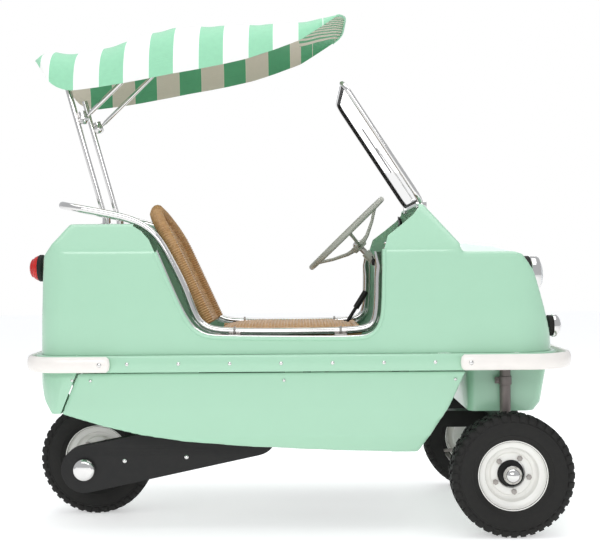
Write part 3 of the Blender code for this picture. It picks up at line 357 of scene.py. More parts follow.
def slice_off(obj, place, normal):
    """Cuts away what lies beyond a plane and closes the cut."""
    edit_all(obj, bpy.ops.mesh.bisect, plane_co=place, plane_no=normal, use_fill=True, clear_outer=True)


def slice_side(obj, first, second):
    """Cuts along a line in X and Z; what stays lies to the left of the way from first to second."""
    step = (second[0] - first[0], second[1] - first[1])
    slice_off(obj, (first[0], 0, first[1]), (step[1], 0, -step[0]))


def slice_sides(obj, line):
    """Cuts along each stretch of a line in X and Z."""
    for first, second in zip(line, line[1:]):
        slice_side(obj, first, second)


def slice_flanks(obj, first, second):
    """Cuts both flanks along a line in Y and Z, given going up on the +Y side."""
    step = (second[0] - first[0], second[1] - first[1])
    slice_off(obj, (0, first[0], first[1]), (0, step[1], -step[0]))
    slice_off(obj, (0, -first[0], first[1]), (0, -step[1], -step[0]))


def join_all(name, objects):
    bpy.ops.object.select_all(action="DESELECT")
    for obj in objects:
        obj.select_set(True)
    bpy.context.view_layer.objects.active = objects[0]
    if len(objects) > 1:
        bpy.ops.object.join()
    objects[0].name = name
    return objects[0]


def fuse_and_soften(obj, voxel, rounds):
    remesh = obj.modifiers.new("remesh", "REMESH")
    remesh.mode = "VOXEL"
    remesh.voxel_size = voxel
    soften = obj.modifiers.new("soften", "SMOOTH")
    soften.factor = 0.5
    soften.iterations = rounds
    return apply_all(obj)


def wall(obj, thickness, offset=-1.0):
    solidify = obj.modifiers.new("wall", "SOLIDIFY")
    solidify.thickness = thickness
    solidify.offset = offset
    solidify.use_even_offset = False
    return apply_all(obj)


def smooth(obj, angle=35):
    only(obj)
    bpy.ops.object.shade_smooth_by_angle(angle=radians(angle))
    return obj


def face_out(obj):
    """Turns every face outwards."""
    edit_all(obj, bpy.ops.mesh.normals_make_consistent, inside=False)
    return obj


def prism(name, outline, half):
    """A flat curve in X and Z, thickened both ways along Y and made a mesh."""
    curve = bpy.data.curves.new(name, "CURVE")
    curve.dimensions = "2D"
    curve.fill_mode = "BOTH"
    curve.extrude = half
    spline = curve.splines.new("POLY")
    spline.points.add(len(outline) - 1)
    for point, (x, z) in zip(spline.points, outline):
        point.co = (x, z, 0, 1)
    spline.use_cyclic_u = True
    obj = bpy.data.objects.new(name, curve)
    bpy.context.scene.collection.objects.link(obj)
    only(obj)
    bpy.ops.object.convert(target="MESH")
    obj = bpy.context.object
    obj.data.transform(Matrix.Rotation(radians(90), 4, "X"))
    edit_all(obj, bpy.ops.mesh.remove_doubles, threshold=0.0001)
    return face_out(obj)


def trim_with(obj, cutter):
    modifier = obj.modifiers.new("trim", "BOOLEAN")
    modifier.operation = "DIFFERENCE"
    modifier.object = cutter
    apply_all(obj)
    bpy.data.objects.remove(cutter)
    return obj


def place_piece(obj, body, slot, material, *stands_for):
    """Gives a finished piece its material and its body, and hides the frame parts it stands for; slot is not
    used.
    """
    obj.data.materials.clear()
    obj.data.materials.append(material)
    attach(obj, body)
    if stands_for:
        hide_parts(*stands_for)
    return obj


def tail_corner(at, way):
    return abs(way.z) > 0.9 and at.x < -0.8


def every_edge(at, way):
    return True


half_width = 0.400
belt_top = 0.6193
deck_top = 1.066
skin = 0.006
skin_voxel = 0.0075
tail_corner_radius = 0.105

tail = block("tail", (-0.886, -half_width, 0.60), (-0.20, half_width, deck_top))
round_edges(tail, tail_corner_radius, 8, tail_corner)
slice_side(tail, (-0.868, 0.950), (-0.886, 0.619))
slice_side(tail, (-0.780, 1.064), (-0.866, 0.956))
nose = block("nose", (0.20, -half_width, 0.60), (0.890, half_width, 0.994))
round_edges(nose, 0.150, 10, lambda at, way: abs(way.z) > 0.9 and at.x > 0.8)
nose_line = [
    (0.886, 0.619), (0.873, 0.694), (0.833, 0.818), (0.806, 0.900), (0.767, 0.953), (0.690, 0.980),
    (0.557, 0.996)
]
slice_sides(nose, nose_line)
slice_flanks(nose, (0.400, 0.958), (0.250, 0.992))
cowl = block("cowl", (0.290, -half_width, 0.90), (0.557, half_width, 1.131))
slice_side(cowl, (0.557, 0.990), (0.440, 1.131))
sill = block("sill", (-0.60, -half_width, 0.60), (0.50, half_width, 0.75))
for part in (tail, cowl):
    slice_flanks(part, (0.400, 0.969), (0.345, 1.066))
upper = fuse_and_soften(join_all("upper_body_skin", [tail, nose, cowl, sill]), skin_voxel, 7)
slice_off(upper, (0, 0, belt_top), (0, 0, -1))
drop_faces(upper, lambda at, way: at.z < belt_top + 0.001 and way.z < -0.9)
wall(upper, skin)
cockpit_line = [
    (-0.560, 1.30), (-0.560, 1.057), (-0.532, 1.040), (-0.503, 1.010), (-0.480, 0.966), (-0.431, 0.848),
    (-0.397, 0.772), (-0.369, 0.722), (-0.345, 0.696), (-0.312, 0.679), (-0.270, 0.673), (0.205, 0.667),
    (0.243, 0.674), (0.272, 0.696), (0.289, 0.730), (0.296, 0.780), (0.298, 0.972), (0.312, 1.018),
    (0.360, 1.055), (0.405, 1.092), (0.424, 1.117), (0.430, 1.30),
]
trim_with(upper, prism("cockpit_cut", cockpit_line, 0.6))
lamp_low, lamp_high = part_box("headlamp_shell_left")
lamp_z = (lamp_low.z + lamp_high.z) / 2
lamp_y = (lamp_low.y + lamp_high.y) / 2
lamp_radius = (lamp_high.z - lamp_low.z) / 2
for side in (-1, 1):
    lamp_hole = added(
        bpy.ops.mesh.primitive_cylinder_add, vertices=48, radius=lamp_radius + 0.0015, depth=0.3,
        location=(0.85, side * lamp_y, lamp_z), rotation=(0, radians(90), 0),
    )
    trim_with(upper, lamp_hole)
smooth(upper, 30)
place_piece(upper, "chassis", "body_paint", mint_paint, "upper_body")


# Lower body: the belly moulding under the belt, its flanks rolling in towards an open bottom.
# The tail apron is a separate panel behind a slanting seam, with an arch cut in it for the rear wheel.
belt_bottom = 0.5605
rear_x = -0.749
belly = block("lower_body_skin", (-0.86, -0.398, 0.24), (0.60, 0.398, belt_bottom))
belly_line = [
    (-0.744, belt_bottom), (-0.800, 0.419), (-0.661, 0.375), (-0.541, 0.346), (-0.385, 0.320),
    (-0.189, 0.302), (0.017, 0.290), (0.142, 0.284), (0.336, 0.277), (0.412, 0.277), (0.515, 0.435),
    (0.575, belt_bottom)
]
slice_sides(belly, belly_line)
flank_line = [(0.355, 0.272), (0.384, 0.335), (0.395, 0.440), (0.3985, 0.561)]
for first, second in zip(flank_line, flank_line[1:]):
    slice_flanks(belly, first, second)
fuse_and_soften(belly, skin_voxel, 4)
slice_off(belly, (0, 0, belt_bottom - 0.004), (0, 0, 1))
drop_faces(
    belly, lambda at,
    way: (at.z > belt_bottom - 0.006 and way.z > 0.8) or (abs(at.y) < 0.335 and at.x < 0.41)
)
wall(belly, skin)
smooth(belly, 30)
place_piece(belly, "chassis", "body_paint", mint_paint, "lower_body")

apron = block("tail_apron_skin", (-0.886, -half_width, 0.415), (-0.70, half_width, belt_bottom))
round_edges(apron, tail_corner_radius, 8, tail_corner)
apron_line = [
    (-0.884, belt_bottom), (-0.878, 0.513), (-0.863, 0.464), (-0.834, 0.421), (-0.8025, 0.421),
    (-0.7465, belt_bottom),
]
slice_sides(apron, apron_line)
slice_flanks(apron, (0.392, 0.419), (0.400, 0.540))
drop_faces(apron, lambda at, way: way.z > 0.9 or way.x > 0.7)
wall(apron, skin)
wheel_arch = settled(
    bpy.ops.mesh.primitive_cylinder_add, vertices=72, radius=0.260, depth=0.136,
    location=(rear_x, 0, 0.2425), rotation=(radians(90), 0, 0),
)
trim_with(apron, wheel_arch)
round_edges(apron, 0.0015, 2, lambda at, way: abs(way.y) < 0.8)
smooth(apron, 30)
place_piece(apron, "chassis", "body_paint", mint_paint, "tail_apron")

pan = block("nose_pan_skin", (0.600, -0.270, 0.4035), (0.878, 0.270, belt_bottom))
slice_sides(pan, [(0.832, 0.4035), (0.855, 0.432), (0.878, belt_bottom)])
round_edges(pan, 0.03, 5, lambda at, way: abs(way.z) > 0.5)
drop_faces(pan, lambda at, way: way.z > 0.9)
wall(pan, skin)
smooth(pan)
place_piece(pan, "chassis", "body_paint", mint_paint, "nose_pan")


# Belt band: the flanged joint of the two mouldings, closed with domed rivets every 173 mm.
# Domed screw heads hold the apron and the skirt.
band_low, band_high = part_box("belt_band")
band = block("belt_band_skin", band_low, (band_high.x, band_high.y, belt_top - 0.0005))
round_edges(band, 0.168, 12, lambda at, way: abs(way.z) > 0.9 and at.x > 0)
round_edges(band, 0.128, 10, tail_corner)
drop_faces(band, lambda at, way: abs(way.z) > 0.9)
wall(band, 0.024)
round_edges(band, 0.006, 3, lambda at, way: abs(way.z) < 0.1 and (at.z > 0.618 or at.z < 0.562))
smooth(band, 40)
place_piece(band, "chassis", "body_paint", mint_paint, "belt_band")

rivet_pitch = 0.173
rivet_count = 7
first_rivet_x = -0.573
belt_middle = 0.590
band_side = band_high.y
heads = []


def domed_head(place, normal, radius, height):
    """A flattened half ball standing on a surface."""
    head = added(bpy.ops.mesh.primitive_uv_sphere_add, segments=14, ring_count=8, radius=1)
    turn = Vector((0, 0, 1)).rotation_difference(Vector(normal)).to_matrix().to_4x4()
    head.data.transform(Matrix.Translation(place) @ turn @ Matrix.Diagonal((radius, radius, height, 1)))
    heads.append(head)
    return head


for side in (-1, 1):
    for i in range(rivet_count):
        domed_head(
            (first_rivet_x + rivet_pitch * i, side * band_side, belt_middle), (0, side, 0), 0.0065, 0.003
        )
    for x, z in ((-0.762, 0.535), (-0.700, 0.533), (-0.045, 0.530), (0.535, 0.530)):
        domed_head((x, side * 0.3990, z), (0, side, 0), 0.0055, 0.0035)
rivets = smooth(join_all("belt_rivets", heads), 60)
place_piece(rivets, "chassis", "chrome", chrome)


# Bumpers: deep oval pressings in cream enamel, wrapped round each end and closed with rounded tips.
# One chromed bolt shows at each end.
def swept(name, points, radius, radii=None, cyclic=False, resolution=5, oval=None, kind="POLY"):
    """A tube along points; oval gives the section's half depth and half height instead."""
    curve = bpy.data.curves.new(name, "CURVE")
    curve.dimensions = "3D"
    curve.twist_mode = "Z_UP"
    curve.use_fill_caps = not cyclic
    curve.resolution_u = 6
    section = None
    if oval:
        section_curve = bpy.data.curves.new(name + "_section", "CURVE")
        ring = section_curve.splines.new("POLY")
        ring.points.add(23)
        for i, point in enumerate(ring.points):
            turn = 2 * pi * i / 24
            point.co = (oval[0] * cos(turn), oval[1] * sin(turn), 0, 1)
        ring.use_cyclic_u = True
        section = bpy.data.objects.new(name + "_section", section_curve)
        bpy.context.scene.collection.objects.link(section)
        curve.bevel_mode = "OBJECT"
        curve.bevel_object = section
    else:
        curve.bevel_depth = radius
        curve.bevel_resolution = resolution
    spline = curve.splines.new(kind)
    spline.points.add(len(points) - 1)
    for i, (point, place) in enumerate(zip(spline.points, points)):
        point.co = (*place, 1)
        point.radius = radii[i] if radii else 1.0
    if kind == "NURBS":
        spline.order_u = 4
        spline.use_endpoint_u = True
    spline.use_cyclic_u = cyclic
    obj = bpy.data.objects.new(name, curve)
    bpy.context.scene.collection.objects.link(obj)
    only(obj)
    bpy.ops.object.convert(target="MESH")
    obj = bpy.context.object
    if section:
        bpy.data.objects.remove(section)
    edit_all(obj, bpy.ops.mesh.remove_doubles, threshold=0.00005)
    return smooth(face_out(obj), 50)


def bumper(name, node_name, end_x, tip_x, corner):
    way = 1 if tip_x > end_x else -1
    side = half_width + 0.0325
    tip = tip_x - way * 0.0115
    path = [
        (end_x - way * 0.012, side), (end_x - way * 0.009, side), (end_x, side), (end_x + way * 0.03, side)
    ]
    path += [
        (
            tip - way * corner + way * corner * sin(pi / 2 * i / 12),
            side - corner + corner * cos(pi / 2 * i / 12)
        )
        for i in range(13)
    ]
    radii = [0.15, 0.7, 1.0] + [1.0] * (len(path) - 3)
    full = path + [(x, -y) for x, y in reversed(path)]
    bar = swept(name, [(x, y, belt_middle) for x, y in full], 0.02, radii + radii[::-1], oval=(0.012, 0.027))
    place_piece(bar, "chassis", "cream_paint", cream_paint, node_name)
    return [(end_x + way * 0.022, s * (side + 0.011), belt_middle, s) for s in (-1, 1)]


bolt_places = bumper("front_bumper_bar", "front_bumper", 0.560, 0.9564, 0.170)
bolt_places += bumper("rear_bumper_bar", "rear_bumper", -0.640, -0.9335, 0.130)
heads = []
for x, y, z, side in bolt_places:
    domed_head((x, y, z), (0, side, 0), 0.0085, 0.005)
place_piece(smooth(join_all("bumper_bolts", heads), 60), "chassis", "chrome", chrome)


# Cockpit edge: the moulding's edge is rolled over a bead, and a thin chrome strip covers the joint inside it.
# A polished tube rail stands on saddle clips and runs across behind the seat.
opening = cockpit_line[1:-1]
SIDES = ((1, "left"), (-1, "right"))
for side, hand in SIDES:
    bead_line = [(x, side * (half_width - 0.004), z) for x, z in opening if z < 1.0]
    bead = swept("cockpit_bead_" + hand, bead_line, 0.0075, kind="NURBS")
    place_piece(bead, "chassis", "body_paint", mint_paint)
    strip_line = [(x * 0.999 + 0.003, side * (half_width - 0.020), z + 0.006) for x, z in opening if z < 0.99]
    strip = swept("cockpit_strip_" + hand, strip_line, 0.004, kind="NURBS")
    place_piece(strip, "chassis", "chrome", chrome)

rail_side = [
    (-0.649, 1.101), (-0.577, 1.085), (-0.520, 1.058), (-0.474, 1.012), (-0.439, 0.948), (-0.403, 0.880),
    (-0.375, 0.815), (-0.350, 0.735), (-0.310, 0.702), (-0.250, 0.691), (0.000, 0.690), (0.220, 0.692),
    (0.262, 0.708), (0.279, 0.750), (0.281, 0.850), (0.281, 0.965),
]
rail_half = 0.330
rail_near = [(x, -rail_half, z) for x, z in reversed(rail_side)] + [
    (-0.740, -rail_half, 1.119), (-0.785, -rail_half + 0.012, 1.127), (-0.815, -rail_half + 0.045, 1.134),
    (-0.826, -rail_half + 0.085, 1.137), (-0.828, -0.12, 1.138),
]
rail_path = rail_near + [(x, -y, z) for x, y, z in reversed(rail_near)]
rail = swept("cockpit_rail_tube", rail_path, 0.0128, resolution=7, kind="NURBS")
place_piece(rail, "chassis", "chrome", chrome, "cockpit_rail")

clips = []
for side in (-1, 1):
    for x in (-0.215, 0.150):
        clip = block(
            "clip", (x - 0.022, side * 0.352 - 0.024, 0.674), (x + 0.022, side * 0.352 + 0.024, 0.684)
        )
        round_edges(clip, 0.003, 3, every_edge)
        saddle = settled(
            bpy.ops.mesh.primitive_torus_add, major_radius=0.0145, minor_radius=0.004, major_segments=28,
            minor_segments=8, location=(x, side * rail_half, 0.691), rotation=(0, radians(90), 0),
        )
        clips += [clip, saddle]
place_piece(smooth(join_all("rail_clips", clips)), "chassis", "steel", steel)


# Canopy: one sheet of striped awning cotton, a shallow crown whose sides drop to a plain hem, with a rolled
# lip at its front. Outside, mint and white bands run across it; inside, darker copies of the same bands are
# painted shade.
canopy_top = [
    (-0.934, 1.669), (-0.920, 1.694), (-0.885, 1.705), (-0.804, 1.697), (-0.696, 1.717), (-0.612, 1.743),
    (-0.527, 1.772), (-0.442, 1.792), (-0.300, 1.797), (-0.173, 1.799), (0.012, 1.803), (0.089, 1.813),
    (0.143, 1.822), (0.182, 1.812),
]
canopy_hem = [
    (-0.934, 1.662), (-0.902, 1.620), (-0.878, 1.580), (-0.856, 1.560), (-0.820, 1.546), (-0.792, 1.543),
    (-0.702, 1.554), (-0.610, 1.568), (-0.523, 1.584), (-0.434, 1.601), (-0.346, 1.616), (-0.260, 1.632),
    (-0.170, 1.652), (-0.079, 1.681), (0.017, 1.716), (0.111, 1.766), (0.150, 1.788), (0.182, 1.806),
]
canopy_half = 0.2345
stripe_width = 0.0885


def height_on(line, x):
    """Height on a line of (x, z) points, straight between them."""
    for (x0, z0), (x1, z1) in zip(line, line[1:]):
        if x <= x1:
            t = max(0.0, (x - x0) / (x1 - x0))
            return z0 + (z1 - z0) * t
    return line[-1][1]


canopy = added(bpy.ops.mesh.primitive_grid_add, x_subdivisions=120, y_subdivisions=56, size=2, calc_uvs=True)
canopy.name = "canopy_cloth"
canopy_start = -0.9345
canopy_end = 0.178
canopy_length = canopy_end - canopy_start
for vertex in canopy.data.vertices:
    along = (1 + sin(vertex.co.x * pi / 2)) / 2
    along = 0.5 * along + 0.25 * (1 + vertex.co.x)
    across = sin(vertex.co.y * pi / 2)
    x = canopy_start + canopy_length * along
    top = sum(height_on(canopy_top, x + d) for d in (-0.010, -0.005, 0, 0.005, 0.010)) / 5
    hem = min(top - 0.002, sum(height_on(canopy_hem, x + d) for d in (-0.012, -0.006, 0, 0.006, 0.012)) / 5)
    drop = max(0.0, 1 - abs(across) ** 3.2) ** (1 / 2.4)
    crown = 0.014 * (1 - across ** 2) * min(1.0, (x - canopy_start) / 0.05)
    ripple = 0.0014 * sin(abs(across) * pi) * cos(x * 2 * pi / stripe_width)
    bulge = (0.010 - 0.034 * across ** 4) * max(0.0, along - 0.86) / 0.14
    pinch = 1 - 0.25 * max(0.0, 1 - (x - canopy_start) / 0.05) ** 2
    vertex.co = (
        x + bulge, canopy_half * across * pinch, hem + (top - hem) * drop + crown * (drop - 0.6) + ripple
    )
front_row = sorted((v.co.copy() for v in list(canopy.data.vertices)[120::121]), key=lambda co: co.y)
wall(canopy, 0.003)
smooth(canopy, 60)


def stripe_material(name, dark, light, weave, start, ceiling):
    """Bands across the car with pale sewn lines between them, a plain weave, narrow bands on the ceiling."""
    material = bpy.data.materials.new(name)
    material.use_nodes = True
    tree = material.node_tree
    shader = shader_of(material)
    place = node(tree, "ShaderNodeTexCoord")
    axes = node(tree, "ShaderNodeSeparateXYZ")
    tree.links.new(place.outputs["Object"], axes.inputs[0])

    def math(operation, first, second=None):
        step = node(tree, "ShaderNodeMath", operation=operation)
        for socket, value in zip(step.inputs, (first, second)):
            if isinstance(value, (int, float)):
                socket.default_value = value
            elif value is not None:
                tree.links.new(value, socket)
        return step.outputs[0]

    count = math("DIVIDE", math("ADD", axes.outputs["X"], 40 * stripe_width - start), 2 * stripe_width)
    narrow = math("DIVIDE", math("ADD", axes.outputs["Y"], 1.0), 0.036)
    front = math(
        "MULTIPLY", math("GREATER_THAN", axes.outputs["X"], ceiling),
        math("LESS_THAN", math("ABSOLUTE", axes.outputs["Y"]), 0.19)
    )
    share = math("FRACT", math("ADD", count, math("MULTIPLY", front, math("SUBTRACT", narrow, count))))
    band = math("LESS_THAN", share, 0.5)
    tip = math("LESS_THAN", axes.outputs["X"], -0.905)
    seam = math("GREATER_THAN", axes.outputs["X"], 0.022)
    band = math("MAXIMUM", band, math("MAXIMUM", tip, math("MULTIPLY", seam, math("SUBTRACT", 1.0, front))))
    edge = math("ABSOLUTE", math("SUBTRACT", math("FRACT", math("MULTIPLY", share, 2.0)), 0.5))
    line = math("GREATER_THAN", edge, 0.488)
    deep = mottled(tree, dark, [c * 0.88 for c in dark], Scale=60.0)
    pale = mottled(tree, light, [c * 0.93 for c in light], Scale=60.0)
    mix = node(tree, "ShaderNodeMix", data_type="RGBA")
    tree.links.new(band, mix.inputs["Factor"])
    tree.links.new(pale.outputs["Colour"], mix.inputs["A"])
    tree.links.new(deep.outputs["Colour"], mix.inputs["B"])
    lined = node(tree, "ShaderNodeMix", data_type="RGBA")
    tree.links.new(line, lined.inputs["Factor"])
    tree.links.new(mix.outputs["Result"], lined.inputs["A"])
    lined.inputs["B"].default_value = (*[min(1.0, c * 1.1) for c in light], 1)
    tree.links.new(lined.outputs["Result"], shader.inputs["Base Color"])
    threads = []
    for direction in ("X", "Y"):
        wave = node(tree, "ShaderNodeTexWave", wave_type="BANDS", bands_direction=direction)
        wave.inputs["Scale"].default_value = weave
        tree.links.new(place.outputs["Object"], wave.inputs["Vector"])
        threads.append(wave.outputs["Fac"])
    both = math("ADD", *threads)
    lift = node(tree, "ShaderNodeBump")
    lift.inputs["Strength"].default_value = 0.35
    lift.inputs["Distance"].default_value = 0.0006
    tree.links.new(both, lift.inputs["Height"])
    tree.links.new(lift.outputs["Normal"], shader.inputs["Normal"])
    shader.inputs["Roughness"].default_value = 0.85
    shader.inputs["Sheen Weight"].default_value = 0.25
    return material


awning_cotton = stripe_material("awning_cotton", (0.31, 0.67, 0.44), (0.86, 0.86, 0.84), 220.0, -0.697, 9.0)
# The inside faces get a darker copy of the stripes: painted shade for the underside of the canopy, not a
# different cloth.
awning_painted_shade = stripe_material("awning_painted_shade", (0.10, 0.38, 0.19), (0.66, 0.60, 0.50), 220.0, -0.640, 0.015)
place_piece(canopy, "chassis", "canopy_cloth", awning_cotton, "canopy")
canopy.data.materials.append(awning_painted_shade)
middle_x = (canopy_start + canopy_end) / 2
# Faces looking in under the canopy take the second, painted-shade copy of the stripes.
for face in canopy.data.polygons:
    inward = Vector((middle_x - face.center.x, -face.center.y, 1.45 - face.center.z))
    if abs(face.center.y) < canopy_half * 0.985:
        face.material_index = 1 if face.normal.z < -0.02 or face.normal.dot(inward.normalized()) > 0.2 else 0
    else:
        face.material_index = 1 if face.normal.y * face.center.y < 0 else 0

front_hem = [front_row[i] - Vector((0.004, 0, 0.003)) for i in range(0, len(front_row), 2)]
lip = swept("canopy_front_lip", [tuple(place) for place in front_hem], 0.0042)
place_piece(lip, "chassis", "canopy_cloth", awning_cotton)


# Seat: split cane. The back is plaited, with a fat wound border; the squab is a plaited pad between rolls.
# Both hold their own pattern in the mesh: rows of weavers that ride over and under upright stakes.
cane = finish_of("split_cane", (0.62, 0.38, 0.17), (0.34, 0.17, 0.06), 0.5, 0.25, 70.0, bump=0.5, coat=0.15)
weaver_pitch = 0.0115
stake_pitch = 0.0230
weave_depth = 0.0045


def plait(u, v):
    """Height of plaited cane at a place measured in metres along (u) and across (v) the panel."""
    row = int(u // weaver_pitch)
    strand = abs(sin(pi * u / weaver_pitch)) ** 0.6
    over = cos(2 * pi * v / stake_pitch + pi * (row % 2))
    return weave_depth * strand * (0.55 + 0.45 * over)


back_low = (-0.320, 0.712)
back_high = (-0.512, 1.130)
back_length = (Vector(back_high) - Vector(back_low)).length
back_way = (Vector(back_high) - Vector(back_low)).normalized()
back_front = Vector((back_way.y, -back_way.x))
seat_half = 0.208


def back_place(along, across, lift):
    """A place on the bowed seat back: along 0 to 1 up it, across in metres."""
    hollow = -0.034 * (1 - (across / seat_half) ** 2)
    place = Vector(back_low) + back_way * (along * back_length) + back_front * (
        lift + hollow * sin(pi * (0.12 + 0.73 * along))
    )
    return (place.x, across, place.y)


def half_at(along):
    """Half width of the back, arched at the top."""
    if along < 0.62:
        return seat_half
    rest = (along - 0.62) / 0.38
    return seat_half * max(0.0, 1 - rest ** 2.2) ** 0.5


def woven_back(name):
    panel = added(bpy.ops.mesh.primitive_grid_add, x_subdivisions=190, y_subdivisions=150, size=2)
    panel.name = name
    for vertex in panel.data.vertices:
        along = (vertex.co.x + 1) / 2 * 0.995
        across = vertex.co.y * max(0.004, half_at(along))
        vertex.co = back_place(along, across, plait(along * back_length, across))
    wall(panel, 0.008, -1.0)
    return smooth(panel, 70)


panel = woven_back("seat_back_cane")
place_piece(panel, "chassis", "cane", cane, "seat_back")


def wound_roll(name, points, radius, winding=0.0085):
    """A roll along points, wound with cane so that each turn stands as a ridge."""
    fine = []
    for first, second in zip(points, points[1:]):
        first, second = Vector(first), Vector(second)
        steps = max(1, round((second - first).length / (winding / 4)))
        fine += [first.lerp(second, i / steps) for i in range(steps)]
    fine.append(Vector(points[-1]))
    radii = []
    run = 0.0
    for i, place in enumerate(fine):
        if i:
            run += (place - fine[i - 1]).length
        radii.append(0.84 + 0.16 * abs(sin(pi * run / winding)))
    return swept(name, [tuple(p) for p in fine], radius, radii, resolution=4)


border_half = [(a / 24, half_at(a / 24)) for a in range(25)]
border = [back_place(along, -half - 0.002, 0.004) for along, half in border_half if half > 0.02]
border += [back_place(1.0, 0, 0.004)]
border += [(x, -y, z) for x, y, z in reversed(border[:-1])]
place_piece(wound_roll("seat_back_border", border, 0.0245), "chassis", "cane", cane)

cushion_low, cushion_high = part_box("seat_cushion")
squab = added(bpy.ops.mesh.primitive_grid_add, x_subdivisions=260, y_subdivisions=180, size=2)
squab.name = "seat_squab_cane"
squab_middle = (cushion_low + cushion_high) / 2
for vertex in squab.data.vertices:
    u, v = vertex.co.x, vertex.co.y
    x = squab_middle.x + u * (cushion_high.x - cushion_low.x - 0.03) / 2
    y = squab_middle.y + v * (cushion_high.y - cushion_low.y - 0.02) / 2
    crown = 0.030 * (1 - abs(u) ** 6) * (1 - abs(v) ** 6)
    front = 0.006 * max(0.0, u) ** 2 * (1 - abs(v) ** 6)
    vertex.co = (x, y, cushion_high.z - 0.036 + crown + front + plait(x, y) * 0.9)
wall(squab, 0.030)
smooth(squab, 70)
place_piece(squab, "chassis", "cushion", cane, "seat_cushion")
front_roll = [(cushion_high.x - 0.017, y, cushion_high.z - 0.028) for y in (-0.215, -0.1, 0, 0.1, 0.215)]
place_piece(wound_roll("seat_front_roll", front_roll, 0.0165), "chassis", "cane", cane)
for side, hand in SIDES:
    y = side * (cushion_high.y - 0.012)
    edge = [(x, y, cushion_high.z - 0.034) for x in (-0.29, -0.1, 0.1, 0.21)]
    place_piece(wound_roll("seat_side_roll_" + hand, edge, 0.0135), "chassis", "cane", cane)


# Wheels: moulded tyres with blocked tread on white-painted pressed discs, five nuts and chrome front caps.
# The tyre is one turned carcass with tread blocks standing round it in rows; the caps press into the hubs.
def turned(name, profile, place=(0, 0, 0), axis=(0, 1, 0), steps=64):
    """Screws a line of (radius, height) points round an axis; the line runs top to bottom."""
    curve = bpy.data.curves.new(name, "CURVE")
    curve.dimensions = "3D"
    spline = curve.splines.new("POLY")
    spline.points.add(len(profile) - 1)
    for point, (radius, height) in zip(spline.points, profile):
        point.co = (radius, 0, height, 1)
    obj = bpy.data.objects.new(name, curve)
    bpy.context.scene.collection.objects.link(obj)
    only(obj)
    bpy.ops.object.convert(target="MESH")
    obj = bpy.context.object
    screw = obj.modifiers.new("turn", "SCREW")
    screw.steps = steps
    screw.render_steps = steps
    screw.use_merge_vertices = True
    screw.merge_threshold = 0.00005
    apply_all(obj)
    obj.data.transform(Matrix.Translation(place) @ Vector(axis).to_track_quat("Z", "X").to_matrix().to_4x4())
    return smooth(face_out(obj), 40)


def copied(obj, name, move):
    """A copy of a piece, its mesh carried by a matrix."""
    twin = obj.copy()
    twin.data = obj.data.copy()
    twin.name = name
    twin.data.transform(move)
    bpy.context.scene.collection.objects.link(twin)
    return twin


def about_y(degrees):
    return Matrix.Rotation(radians(degrees), 4, "Y")


def ring_of(first, name, count, others=()):
    """Repeats a piece evenly round the Y axis and joins the copies with any others."""
    copies = [copied(first, name, about_y(360 * i / count)) for i in range(count)]
    bpy.data.objects.remove(first)
    return join_all(name, copies + list(others))


wheel_radius = 0.2073
wall_side = [
    (0.2025, 0.0290), (0.2010, 0.0380), (0.1960, 0.0440), (0.1880, 0.0475), (0.1800, 0.0488),
    (0.1790, 0.0498), (0.1770, 0.0498), (0.1760, 0.0490), (0.1650, 0.0496), (0.1500, 0.0490),
    (0.1380, 0.0455), (0.1365, 0.0462), (0.1345, 0.0455), (0.1330, 0.0440), (0.1240, 0.0385),
    (0.1180, 0.0345), (0.1135, 0.0330)
]
carcass_line = wall_side + [(0.112, 0.0)] + [(r, -y) for r, y in reversed(wall_side)]
carcass = turned("tyre", carcass_line + [(0.2035, -0.015), (0.2035, 0.015), wall_side[0]], steps=96)
lug_count = 40
far_side_lag = 4.6
quarter = Matrix.Rotation(radians(90), 4, "Z")
tread = []
lug_line = [
    (0.0275, wheel_radius), (0.0380, 0.2068), (0.0450, 0.2020), (0.0488, 0.1940), (0.0500, 0.1850),
    (0.0480, 0.1840), (0.0440, 0.1930), (0.0360, 0.1990), (0.0275, 0.2000),
]
bar_line = [(0.0035, wheel_radius), (0.0235, wheel_radius), (0.0245, 0.2015), (0.0025, 0.2015)]
rib_line = [
    (-0.0015, wheel_radius - 0.001), (0.0015, wheel_radius - 0.001), (0.0015, 0.2015), (-0.0015, 0.2015)
]
for line, half, start, skew in (
    (lug_line, 0.0092, 0.0, 6), (bar_line, 0.0098, 2.1, -14), (rib_line, 0.0130, 4.2, 0)
):
    for side in (1, -1):
        piece = prism("block", [(side * y, r) for y, r in line], half)
        piece.data.transform(quarter)
        middle = Vector((0, side * sum(y for y, r in line) / len(line), 0))
        lean = Matrix.Translation(middle) @ Matrix.Rotation(
            radians(side * skew), 4, "Z"
        ) @ Matrix.Translation(-middle)
        piece.data.transform(about_y(start + (0 if side > 0 else far_side_lag)) @ lean)
        tread.append(ring_of(face_out(piece), "tread", lug_count))
tyre = join_all("tyre", [carcass] + tread)
place_piece(tyre, "chassis", "tyre", rubber)

disc_line = [
    (0.1195, 0.0325), (0.1180, 0.0350), (0.1155, 0.0345), (0.1130, 0.0310), (0.1105, 0.0230),
    (0.1050, 0.0185), (0.0970, 0.0165), (0.0920, 0.0140), (0.0895, 0.0060), (0.0870, -0.0040),
    (0.0840, -0.0065), (0.0740, -0.0065), (0.0715, -0.0040), (0.0700, 0.0005), (0.0680, 0.0015),
    (0.0520, 0.0015), (0.0480, 0.0000), (0.0466, -0.0030), (0.0466, -0.0140), (0.0740, -0.0100),
    (0.0860, -0.0120), (0.0950, 0.0020), (0.1030, 0.0100), (0.1070, -0.0050), (0.1100, -0.0200),
    (0.1130, -0.0300), (0.1155, -0.0345), (0.1180, -0.0350), (0.1195, -0.0325), (0.1145, -0.0300),
    (0.1120, -0.0180), (0.1095, 0.0000), (0.1120, 0.0180), (0.1145, 0.0300), (0.1195, 0.0325)
]
disc = turned("wheel_disc", disc_line)
